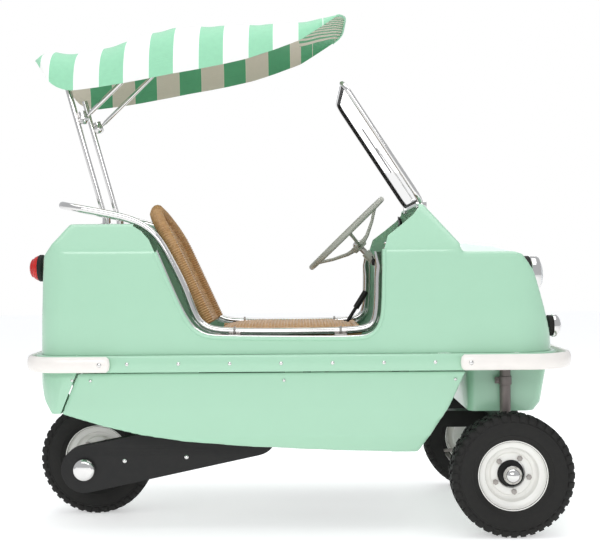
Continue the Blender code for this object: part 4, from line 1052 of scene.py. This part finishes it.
hub_line = [
    (0.0105, 0.0200), (0.0220, 0.0200), (0.0240, 0.0120), (0.0260, -0.0080), (0.0455, -0.0100),
    (0.0455, -0.0240), (0.0300, -0.0300), (0.0105, -0.0300), (0.0105, 0.0200)
]
hub = turned("wheel_hub", hub_line)
nut = added(bpy.ops.mesh.primitive_cylinder_add, vertices=6, radius=0.0098, depth=0.0075, location=(0, 0, 0))
round_edges(nut, 0.0012, 2, lambda at, way: abs(at.z) > 0.003)
nut.data.transform(Matrix.Translation((0, 0.0052, 0.0600)) @ Matrix.Rotation(radians(90), 4, "X"))
nut.data.transform(about_y(-28))
nuts = smooth(ring_of(nut, "wheel_nuts", 5), 30)

front_x = 0.722
axle_height = 0.2075
track = 0.395
wheels = (("left", front_x, track, "front_wheel_left"), ("right", front_x, -track, "front_wheel_right"),
          ("rear", rear_x, 0.0, "rear_wheel"))
for name, x, y, body in wheels:
    flip = Matrix.Rotation(radians(180), 4, "Z") if y <= 0 else Matrix.Identity(4)
    move = Matrix.Translation((x, y, axle_height)) @ flip
    tyre_node = "rear_tyre" if name == "rear" else "front_tyre_" + name
    rim_node = "rear_rim" if name == "rear" else "front_rim_" + name
    place_piece(copied(tyre, tyre_node + "_moulded", move), body, "tyre", rubber, tyre_node)
    place_piece(copied(disc, rim_node + "_disc", move), body, "cream_paint", wheel_white, rim_node)
    place_piece(copied(hub, rim_node + "_hub", move), body, "black_paint", black_paint)
    place_piece(copied(nuts, rim_node + "_nuts", move), body, "steel", steel)
for pattern in (tyre, disc, hub, nuts):
    bpy.data.objects.remove(pattern)
cap_line = [
    (0.0, 0.0290), (0.0060, 0.0285), (0.0130, 0.0265), (0.0200, 0.0220), (0.0250, 0.0165), (0.0285, 0.0100),
    (0.0300, 0.0045), (0.0312, 0.0035), (0.0312, 0.0), (0.0, 0.0),
]
for side, hand in SIDES:
    cap = turned(
        "hub_cap_dome_" + hand, cap_line, (front_x, side * (track + 0.0225), axle_height), (0, side, 0)
    )
    place_piece(cap, "front_wheel_" + hand, "chrome", chrome, "hub_cap_" + hand)


# Kingpin pillars: plain ground tube from the nose pan to the knuckle, clamped at the top by a collar.
# A pinch-bolt ear stands behind each collar, and a dust ring closes the joint with the knuckle.
pillar_y = 0.300
for side, hand in SIDES:
    y = side * pillar_y
    pillar_line = [
        (0.0, 0.5560), (0.0190, 0.5560), (0.0190, 0.5300), (0.0225, 0.5285), (0.0225, 0.5000),
        (0.0190, 0.4985), (0.0190, 0.3000), (0.0220, 0.2980), (0.0220, 0.2790), (0.0200, 0.2710),
        (0.0, 0.2710), (0.0, 0.5560)
    ]
    pillar = turned("kingpin_tube_" + hand, pillar_line, (front_x, y, 0), (0, 0, 1), 40)
    lug = block("lug", (front_x - 0.020, y - side * 0.020 - 0.0001, 0.335), (front_x + 0.020, y, 0.365))
    ear = block("ear", (front_x - 0.036, y - 0.007, 0.503), (front_x - 0.015, y + 0.007, 0.526))
    for piece in (lug, ear):
        round_edges(piece, 0.003, 2, every_edge)
    bolt = turned("bolt", [(0.0, 0.004), (0.004, 0.0035), (0.006, 0.0), (0.006, -0.018), (0.0, -0.018)],
                  (front_x - 0.029, y - 0.007, 0.514), (0, -1, 0), 12)
    place_piece(smooth(join_all("kingpin_tube_" + hand, [pillar, lug, ear, bolt])), "chassis", "steel",
                pillar_steel, "kingpin_pillar_" + hand)


# Lamps: chrome headlamp bezels and side lamp domes on black rubber gaskets, with lightly frosted lenses.
# The tail lamps are faceted red glass on black rings. Each lamp stands on the moulding with its axis level.
def lamp_seat(node_name, behind=False):
    """Where a lamp's axis meets the body, with its depth and its radius."""
    low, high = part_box(node_name)
    middle = (low + high) / 2
    return (high.x if behind else low.x, middle.y, middle.z), high.x - low.x, (high.z - low.z) / 2


for side, hand in SIDES:
    place, deep, radius = lamp_seat("headlamp_shell_" + hand)
    gasket = turned(
        "headlamp_gasket_" + hand,
        [
            (0.0, deep * 0.50), (radius * 0.94, deep * 0.50), (radius * 0.97, deep * 0.42),
            (radius * 0.97, 0.002), (radius * 0.90, 0.0), (0.0, 0.0)
        ],
        place, (1, 0, 0)
    )
    place_piece(gasket, "chassis", "black_paint", rubber)
    shell = turned(
        "headlamp_bezel_" + hand,
        [
            (radius * 0.80, deep * 0.97), (radius * 0.84, deep), (radius * 0.90, deep * 0.98),
            (radius * 0.97, deep * 0.86), (radius, deep * 0.72), (radius, deep * 0.50),
            (radius * 0.96, deep * 0.46), (radius * 0.90, deep * 0.46), (radius * 0.80, deep * 0.97)
        ],
        place, (1, 0, 0)
    )
    place_piece(shell, "chassis", "chrome", chrome, "headlamp_shell_" + hand)
    bowl = turned(
        "headlamp_reflector_" + hand,
        [
            (radius * 0.79, deep * 0.80), (radius * 0.55, deep * 0.62), (radius * 0.30, deep * 0.54),
            (0.0, deep * 0.52)
        ],
        place, (1, 0, 0)
    )
    wall(bowl, 0.0012)
    place_piece(bowl, "chassis", "chrome", chrome)
    bulge = max(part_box("headlamp_lens_" + hand)[1].x - place[0], deep * 1.02) - deep * 0.93
    lens_line = [
        (radius * 0.80 * sin(pi / 2 * i / 8), deep * 0.93 + bulge * cos(pi / 2 * i / 8)) for i in range(9)
    ]
    lens = turned("headlamp_glass_" + hand, lens_line, place, (1, 0, 0))
    wall(lens, 0.0022)
    place_piece(lens, "chassis", "glass", fluted_glass, "headlamp_lens_" + hand)

    place, deep, radius = lamp_seat("side_lamp_" + hand)
    gasket = turned(
        "side_lamp_gasket_" + hand,
        [
            (0.0, deep * 0.40), (radius * 0.86, deep * 0.40), (radius * 0.92, deep * 0.32),
            (radius * 0.92, 0.002), (0.0, 0.0)
        ],
        place, (1, 0, 0), 40
    )
    place_piece(gasket, "chassis", "black_paint", rubber)
    ball_line = [
        (radius * sin(pi / 2 * i / 10), deep * 0.52 + deep * 0.48 * cos(pi / 2 * i / 10)) for i in range(11)
    ]
    ball = turned(
        "side_lamp_dome_" + hand,
        ball_line + [(radius, deep * 0.38), (radius * 0.9, deep * 0.34), (0.0, deep * 0.34)], place,
        (1, 0, 0), 48
    )
    place_piece(ball, "chassis", "chrome", chrome, "side_lamp_" + hand)
    eye = turned(
        "side_lamp_glass_" + hand,
        [
            (0.0, deep * 1.03), (radius * 0.22, deep * 1.01), (radius * 0.40, deep * 0.95),
            (radius * 0.40, deep * 0.85), (0.0, deep * 0.85)
        ],
        place, (1, 0, 0), 32
    )
    place_piece(eye, "chassis", "glass", fluted_glass)

    place, deep, radius = lamp_seat("tail_lamp_" + hand, behind=True)
    ring = turned(
        "tail_lamp_ring_" + hand,
        [(0.0, 0.014), (radius * 0.96, 0.014), (radius, 0.011), (radius, 0.001), (0.0, 0.0)], place,
        (-1, 0, 0), 40
    )
    place_piece(ring, "chassis", "black_paint", rubber)
    steps = [
        (0.0, 1.0), (0.30, 0.99), (0.50, 0.94), (0.66, 0.84), (0.70, 0.80), (0.72, 0.70), (0.84, 0.60),
        (0.88, 0.50), (0.93, 0.42), (0.95, 0.24), (0.0, 0.24)
    ]
    glass = turned(
        "tail_lamp_glass_" + hand, [(radius * r, deep * h) for r, h in steps], place, (-1, 0, 0), 20
    )
    smooth(glass, 12)
    place_piece(glass, "chassis", "red_lens", red_glass, "tail_lamp_" + hand)


# Windscreen: a chrome channel bent round flat glass, with a black rubber strip on each face.
# It stands on two cast feet at the cowl; the wiper's spindle is near its foot, left of the middle.
screen_foot = Vector((0.441, 0, 1.139))
screen_head = Vector((0.165, 0, 1.563))
screen_way = screen_head - screen_foot
screen_out = Vector((screen_way.z, 0, -screen_way.x)).normalized()
screen_half = 0.262


def on_screen(along, across, lift=0.0):
    place = screen_foot + screen_way * along + screen_out * lift
    return (place.x, across, place.z)


def screen_loop(shrink, lift=0.0, count=8):
    """Points round the screen, drawn in by a margin, with rounded corners."""
    long = screen_way.length
    half = screen_half - shrink
    radius = 0.045 - shrink * 0.5
    low, high = shrink + radius, long - shrink - radius
    corners = (
        (half - radius, low, -90), (half - radius, high, 0), (radius - half, high, 90),
        (radius - half, low, 180)
    )
    places = []
    for across, along, start in corners:
        for i in range(count + 1):
            turn = radians(start + 90 * i / count)
            places.append(on_screen((along + radius * sin(turn)) / long, across + radius * cos(turn), lift))
    return places


channel = swept("windscreen_channel", screen_loop(0.0), 0.0092, cyclic=True)
for side in (-1, 1):
    foot = block("foot", (0.425, side * 0.222 - 0.013, 1.118), (0.462, side * 0.222 + 0.013, 1.142))
    round_edges(foot, 0.004, 2, every_edge)
    channel = join_all("windscreen_channel", [channel, foot])
place_piece(smooth(channel, 45), "chassis", "chrome", chrome, "windscreen_frame")
for lift, label in ((0.0045, "outer"), (-0.0045, "inner")):
    strip = swept("windscreen_rubber_" + label, screen_loop(0.0105, lift), 0.0042, cyclic=True)
    place_piece(strip, "chassis", "black_paint", rubber)
pane = block(
    "windscreen_pane", (-0.0020, -screen_half + 0.012, 0.012),
    (0.0020, screen_half - 0.012, screen_way.length - 0.012)
)
round_edges(pane, 0.036, 8, lambda at, way: abs(way.x) > 0.9)
pane.data.transform(Matrix.Translation(screen_foot) @ screen_way.to_track_quat("Z", "Y").to_matrix().to_4x4()
                    @ Matrix.Rotation(radians(-90), 4, "Z"))
place_piece(smooth(pane, 30), "chassis", "glass", screen_glass, "windscreen_glass")

wiper_across = 0.10
parts = [
    turned(
        "spindle", [(0.0, 0.031), (0.006, 0.030), (0.0085, 0.026), (0.0095, 0.016), (0.0, 0.015)],
        on_screen(0.03, wiper_across), screen_out, 24
    ),
    swept(
        "arm",
        [
            on_screen(0.03, wiper_across, 0.024), on_screen(0.25, wiper_across, 0.024),
            on_screen(0.52, wiper_across, 0.018)
        ],
        0.0028, kind="POLY"
    )
]
place_piece(join_all("wiper_arm_rod", parts), "wiper", "chrome", chrome, "wiper_arm")
blade = swept("wiper_blade", [on_screen(along, wiper_across, 0.0125) for along in (0.30, 0.70)], 0.0030)
place_piece(blade, "wiper", "black_paint", rubber)


# Steering: a grey moulded wheel with three cast spokes dished to the hub and a chrome horn dome in it.
# The column sleeve runs down towards the dash and carries the indicator switch on its right.
column_slope = radians(46)
column_way = Vector((cos(column_slope), 0, -sin(column_slope)))
hub_place = Vector((0.231, 0, 0.992))
to_hub = Matrix.Translation(hub_place) @ Matrix((
    (-sin(column_slope), 0, -column_way.x), (0, -1, 0), (-cos(column_slope), 0, -column_way.z))).to_4x4()
rim_radius = 0.182
rim_tube = 0.0105
dish = 0.062
circle = [(rim_radius * cos(2 * pi * i / 72), rim_radius * sin(2 * pi * i / 72), dish) for i in range(72)]
wheel_rim = swept("steering_rim", circle, rim_tube, cyclic=True, resolution=6)
cast = [wheel_rim]
for i in range(3):
    turn = radians(90 + 120 * i)
    way = Vector((cos(turn), sin(turn), 0))
    spoke = [
        way * 0.020 + Vector((0, 0, -0.006)), way * 0.060 + Vector((0, 0, 0.002)),
        way * 0.120 + Vector((0, 0, 0.026)), way * 0.160 + Vector((0, 0, 0.048)),
        way * (rim_radius - 0.004) + Vector((0, 0, dish - 0.002))
    ]
    cast.append(swept("spoke", [tuple(p) for p in spoke], 0.0075, [1.25, 0.95, 0.8, 0.85, 1.2]))
cast.append(
    turned(
        "boss",
        [
            (0.0, -0.006), (0.0203, -0.006), (0.0206, 0.006), (0.0300, 0.0065), (0.0325, 0.0020),
            (0.0315, -0.0080), (0.0260, -0.0185), (0.0170, -0.0190), (0.0, -0.0190)
        ],
        (0, 0, 0), (0, 0, 1), 48
    )
)
steering_wheel = join_all("steering_wheel_cast", cast)
steering_wheel.data.transform(to_hub)
place_piece(smooth(steering_wheel, 50), "steering", "grey_plastic", grey_plastic, "steering_wheel")
dome = turned(
    "horn_dome",
    [
        (0.0, 0.0185), (0.007, 0.0175), (0.0135, 0.0145), (0.0175, 0.0095), (0.0190, 0.0070),
        (0.0190, 0.0065), (0.0, 0.0065)
    ],
    (0, 0, 0), (0, 0, 1), 40
)
dome.data.transform(to_hub)
place_piece(dome, "horn", "chrome", chrome, "horn_button")

column_start = hub_place + column_way * 0.040
sleeve = turned(
    "column_sleeve",
    [
        (0.0, 0.0), (0.0165, 0.0), (0.0165, -0.030), (0.0135, -0.040), (0.0135, -0.150), (0.0175, -0.153),
        (0.0175, -0.178), (0.0135, -0.181), (0.0135, -0.258), (0.0, -0.258)
    ],
    tuple(column_start), -column_way, 36
)
place_piece(sleeve, "chassis", "grey_plastic", grey_plastic, "column_tube")
switch_at = column_start + column_way * 0.050
switch = block(
    "indicator_switch", (switch_at.x - 0.014, -0.034, switch_at.z - 0.012),
    (switch_at.x + 0.014, -0.010, switch_at.z + 0.012)
)
round_edges(switch, 0.005, 3, every_edge)
stalk = swept(
    "stalk",
    [
        (switch_at.x, -0.034, switch_at.z), (switch_at.x - 0.010, -0.060, switch_at.z + 0.012),
        (switch_at.x - 0.016, -0.092, switch_at.z + 0.020)
    ],
    0.0028
)
place_piece(smooth(join_all("indicator_switch", [switch, stalk]), 40), "chassis", "black_paint", black_paint)


# Dash: a round speed dial with a chrome ring and four toggles on a painted panel, facing the driver.
# A small mirror in a black shell stands on a stem on the cowl, behind the screen.
dial_at = (0.358, 0.0, 1.000)
dial_way = (-0.926, 0, 0.378)
dial = turned(
    "dash_dial_ring",
    [(0.038, 0.0), (0.041, 0.004), (0.044, 0.002), (0.044, -0.006), (0.038, -0.006), (0.038, 0.0)], dial_at,
    dial_way, 48
)
place_piece(dial, "chassis", "chrome", chrome)
face = turned(
    "dash_dial_face", [(0.0, -0.001), (0.0385, -0.001), (0.0385, -0.006), (0.0, -0.006)], dial_at, dial_way,
    48
)
place_piece(face, "chassis", "black_paint", black_paint)
needle = swept("dash_dial_needle", [(0.3555, 0.004, 0.997), (0.3500, 0.020, 1.012)], 0.0012)
place_piece(needle, "chassis", "red_lens", red_glass)
for i, y in enumerate((-0.13, -0.10, 0.10, 0.13)):
    knob = turned(
        "dash_toggle_%d" % i,
        [
            (0.0, 0.020), (0.0035, 0.019), (0.0045, 0.015), (0.0025, 0.006), (0.0085, 0.004),
            (0.0085, -0.005), (0.0, -0.005)
        ],
        (0.358, y, 0.995), dial_way, 20
    )
    place_piece(knob, "chassis", "chrome", chrome)
mirror_at = (0.392, 0.05, 1.075)
mirror = turned(
    "mirror_head", [(0.0, 0.012), (0.016, 0.010), (0.024, 0.004), (0.026, -0.001), (0.0, -0.002)],
    mirror_at, (1, 0, 0.2), 32
)
stem = swept("mirror_stem", [(0.3925, 0.05, 1.072), (0.389, 0.05, 1.030)], 0.004)
place_piece(smooth(join_all("mirror_head", [mirror, stem]), 40), "chassis", "black_paint", black_paint)


# Canopy stays: two chromed posts from the rear deck, a ball clamp on each and a strut from it to the cloth.
# Each post stands in a turned flange; each clamp is a ball, a band round the post and a round-headed screw.
for side, hand in SIDES:
    y = side * 0.145
    post = swept(
        "canopy_post_tube_" + hand, [(-0.687, y, 1.073), (-0.735, y, 1.244), (-0.824, y, 1.5625)], 0.0103,
        resolution=7
    )
    flange = turned(
        "flange",
        [
            (0.0104, 0.030), (0.0140, 0.028), (0.0150, 0.010), (0.0260, 0.006), (0.0270, 0.0012),
            (0.0104, 0.0012)
        ],
        (-0.688, y, 1.0662), (0, 0, 1), 32
    )
    clamp_at = Vector((-0.768, y - side * 0.004, 1.454))
    ball = settled(
        bpy.ops.mesh.primitive_uv_sphere_add, segments=32, ring_count=16, radius=0.0195, location=clamp_at
    )
    band = turned(
        "band", [(0.0106, 0.020), (0.0150, 0.019), (0.0150, -0.019), (0.0106, -0.020), (0.0106, 0.020)],
        (-0.7705, y, 1.4620), (-0.137, 0, 0.490), 32
    )
    screw = turned(
        "screw",
        [
            (0.0, 0.030), (0.007, 0.029), (0.009, 0.026), (0.009, 0.019), (0.005, 0.018), (0.005, 0.0),
            (0.0, 0.0)
        ],
        tuple(clamp_at), (0, side, 0), 20
    )
    post = join_all("canopy_post_tube_" + hand, [post, flange, ball, band, screw])
    place_piece(smooth(post, 40), "chassis", "chrome", chrome, "canopy_post_" + hand)
    up = Vector((-0.628 + 0.768, 0, 1.590 - 1.454)).normalized()
    start = clamp_at + up * 0.0150
    end = Vector((-0.628, clamp_at.y, 1.590)) + up * 0.120
    strut = swept(
        "canopy_strut_tube_" + hand,
        [tuple(start), tuple(start + up * 0.012), tuple(start + up * 0.020), tuple(end)], 0.0080,
        [0.7, 0.7, 1.0, 1.0], resolution=6
    )
    place_piece(strut, "chassis", "chrome", chrome, "canopy_strut_" + hand)


# Rear arm: the chain case is a pressed tin box with a rolled edge and two domed screws.
# A chromed nut closes the axle on its outer face.
def run_round(first, first_radius, second, second_radius, count=20):
    """Points in X and Z round two circles of different radius, first one rearmost."""
    way = Vector(second) - Vector(first)
    slope = atan2(way.y, way.x)
    places = []
    for centre, radius, start in (
        (first, first_radius, slope + pi / 2), (second, second_radius, slope - pi / 2)
    ):
        places += [
            (
                centre[0] + radius * cos(start + pi * i / count),
                centre[1] + radius * sin(start + pi * i / count)
            )
            for i in range(count + 1)
        ]
    return places


axle_at = (rear_x, axle_height)
pivot_at = (-0.150, 0.330)
case_low, case_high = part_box("chain_case")
case_outer = case_low.y + 0.003
case_inner = case_high.y
case_radius = 0.0820
case_middle = (case_outer + case_inner) / 2
lip_line = run_round(axle_at, case_radius - 0.0022, pivot_at, case_radius - 0.0062)
case_body = prism(
    "chain_case_pressing", run_round(axle_at, case_radius, pivot_at, case_radius - 0.004),
    (case_inner - case_outer) / 2
)
case_body.data.transform(Matrix.Translation((0, case_middle, 0)))
round_edges(case_body, 0.005, 4, lambda at, way: at.y < case_outer + 0.001 and abs(way.y) < 0.5)
drop_faces(case_body, lambda at, way: at.y > case_inner - 0.001)
wall(case_body, 0.002)
lip = swept("lip", [(x, case_inner - 0.004, z) for x, z in lip_line], 0.0032, cyclic=True)
place_piece(
    smooth(join_all("chain_case_pressing", [case_body, lip]), 35), "rear_arm", "black_paint", case_paint,
    "chain_case"
)
for i, (x, z) in enumerate(((-0.608, 0.237), (-0.391, 0.249))):
    head_line = [(0.0, 0.0035), (0.0045, 0.0028), (0.0075, 0.0), (0.0, -0.001)]
    head = turned("case_screw_%d" % i, head_line, (x, case_outer, z), (0, -1, 0), 20)
    place_piece(head, "rear_arm", "chrome", chrome)
nut_line = [
    (0.0, 0.0200), (0.0270, 0.0195), (0.0330, 0.0170), (0.0385, 0.0100), (0.0400, 0.0060), (0.0400, 0.0000),
    (0.0, 0.0)
]
nut = turned("rear_axle_nut", nut_line, (axle_at[0], case_low.y - 0.0006, axle_at[1]), (0, -1, 0), 48)
place_piece(nut, "rear_arm", "chrome", chrome)
coat_node("rear_axle", chrome)


# Running gear under the floor: the chain from the pedals back to the jackshaft, and the pedals.
# The chain is drawn as linked plates, and each pedal as rubber blocks on two bars between cage plates.
def chain_links(name, first, first_radius, second, second_radius, y, pitch=0.0127):
    """Plates set evenly round two sprockets, every other one narrower."""
    line = [Vector((x, y, z)) for x, z in run_round(first, first_radius, second, second_radius)]
    line.append(line[0])
    lengths = [(b - a).length for a, b in zip(line, line[1:])]
    count = round(sum(lengths) / pitch)
    step = sum(lengths) / count
    links = []
    plate = block("plate", (-0.0060, -0.0038, -0.0036), (0.0060, 0.0038, 0.0036))
    for i in range(count):
        run = (i + 0.5) * step
        part = 0
        while run > lengths[part]:
            run -= lengths[part]
            part += 1
        way = (line[part + 1] - line[part]).normalized()
        place = line[part] + way * run
        slope = atan2(way.z, way.x)
        narrow = Matrix.Diagonal((1, 1.0 if i % 2 else 0.62, 1, 1))
        links.append(
            copied(plate, "link", Matrix.Translation(place) @ Matrix.Rotation(-slope, 4, "Y") @ narrow)
        )
    bpy.data.objects.remove(plate)
    return join_all(name, links)


crank_at = (0.385, 0.560)
place_piece(
    chain_links("primary_chain_links", pivot_at, 0.0345, crank_at, 0.0705, 0.143), "chassis", "steel",
    steel, "primary_chain"
)
for side, hand in SIDES:
    low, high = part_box("pedal_" + hand)
    middle = (low + high) / 2
    treads = []
    for edge in (-1, 1):
        for i in range(5):
            y = low.y + (high.y - low.y) * (i + 0.5) / 5
            x = middle.x + edge * 0.019
            tread_block = block("tread", (x - 0.0105, y - 0.0066, low.z), (x + 0.0105, y + 0.0066, high.z))
            round_edges(tread_block, 0.0015, 1, every_edge)
            treads.append(tread_block)
        bar = block(
            "bar", (middle.x + edge * 0.019 - 0.0080, low.y, middle.z - 0.0080),
            (middle.x + edge * 0.019 + 0.0080, high.y, middle.z + 0.0080)
        )
        treads.append(bar)
    for y in (low.y, high.y - 0.004):
        cage = block(
            "cage", (middle.x - 0.027, y, middle.z - 0.0085),
            (middle.x + 0.027, y + 0.004, middle.z + 0.0085)
        )
        hole = turned(
            "hole", [(0.0, 0.02), (0.0062, 0.02), (0.0062, -0.02), (0.0, -0.02)],
            (middle.x, y + 0.002, middle.z), (0, 1, 0), 20
        )
        treads.append(trim_with(cage, hole))
    place_piece(
        smooth(join_all("pedal_blocks_" + hand, treads), 30), "pedal_" + hand, "pedal_rubber", rubber,
        "pedal_" + hand
    )


low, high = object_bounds()
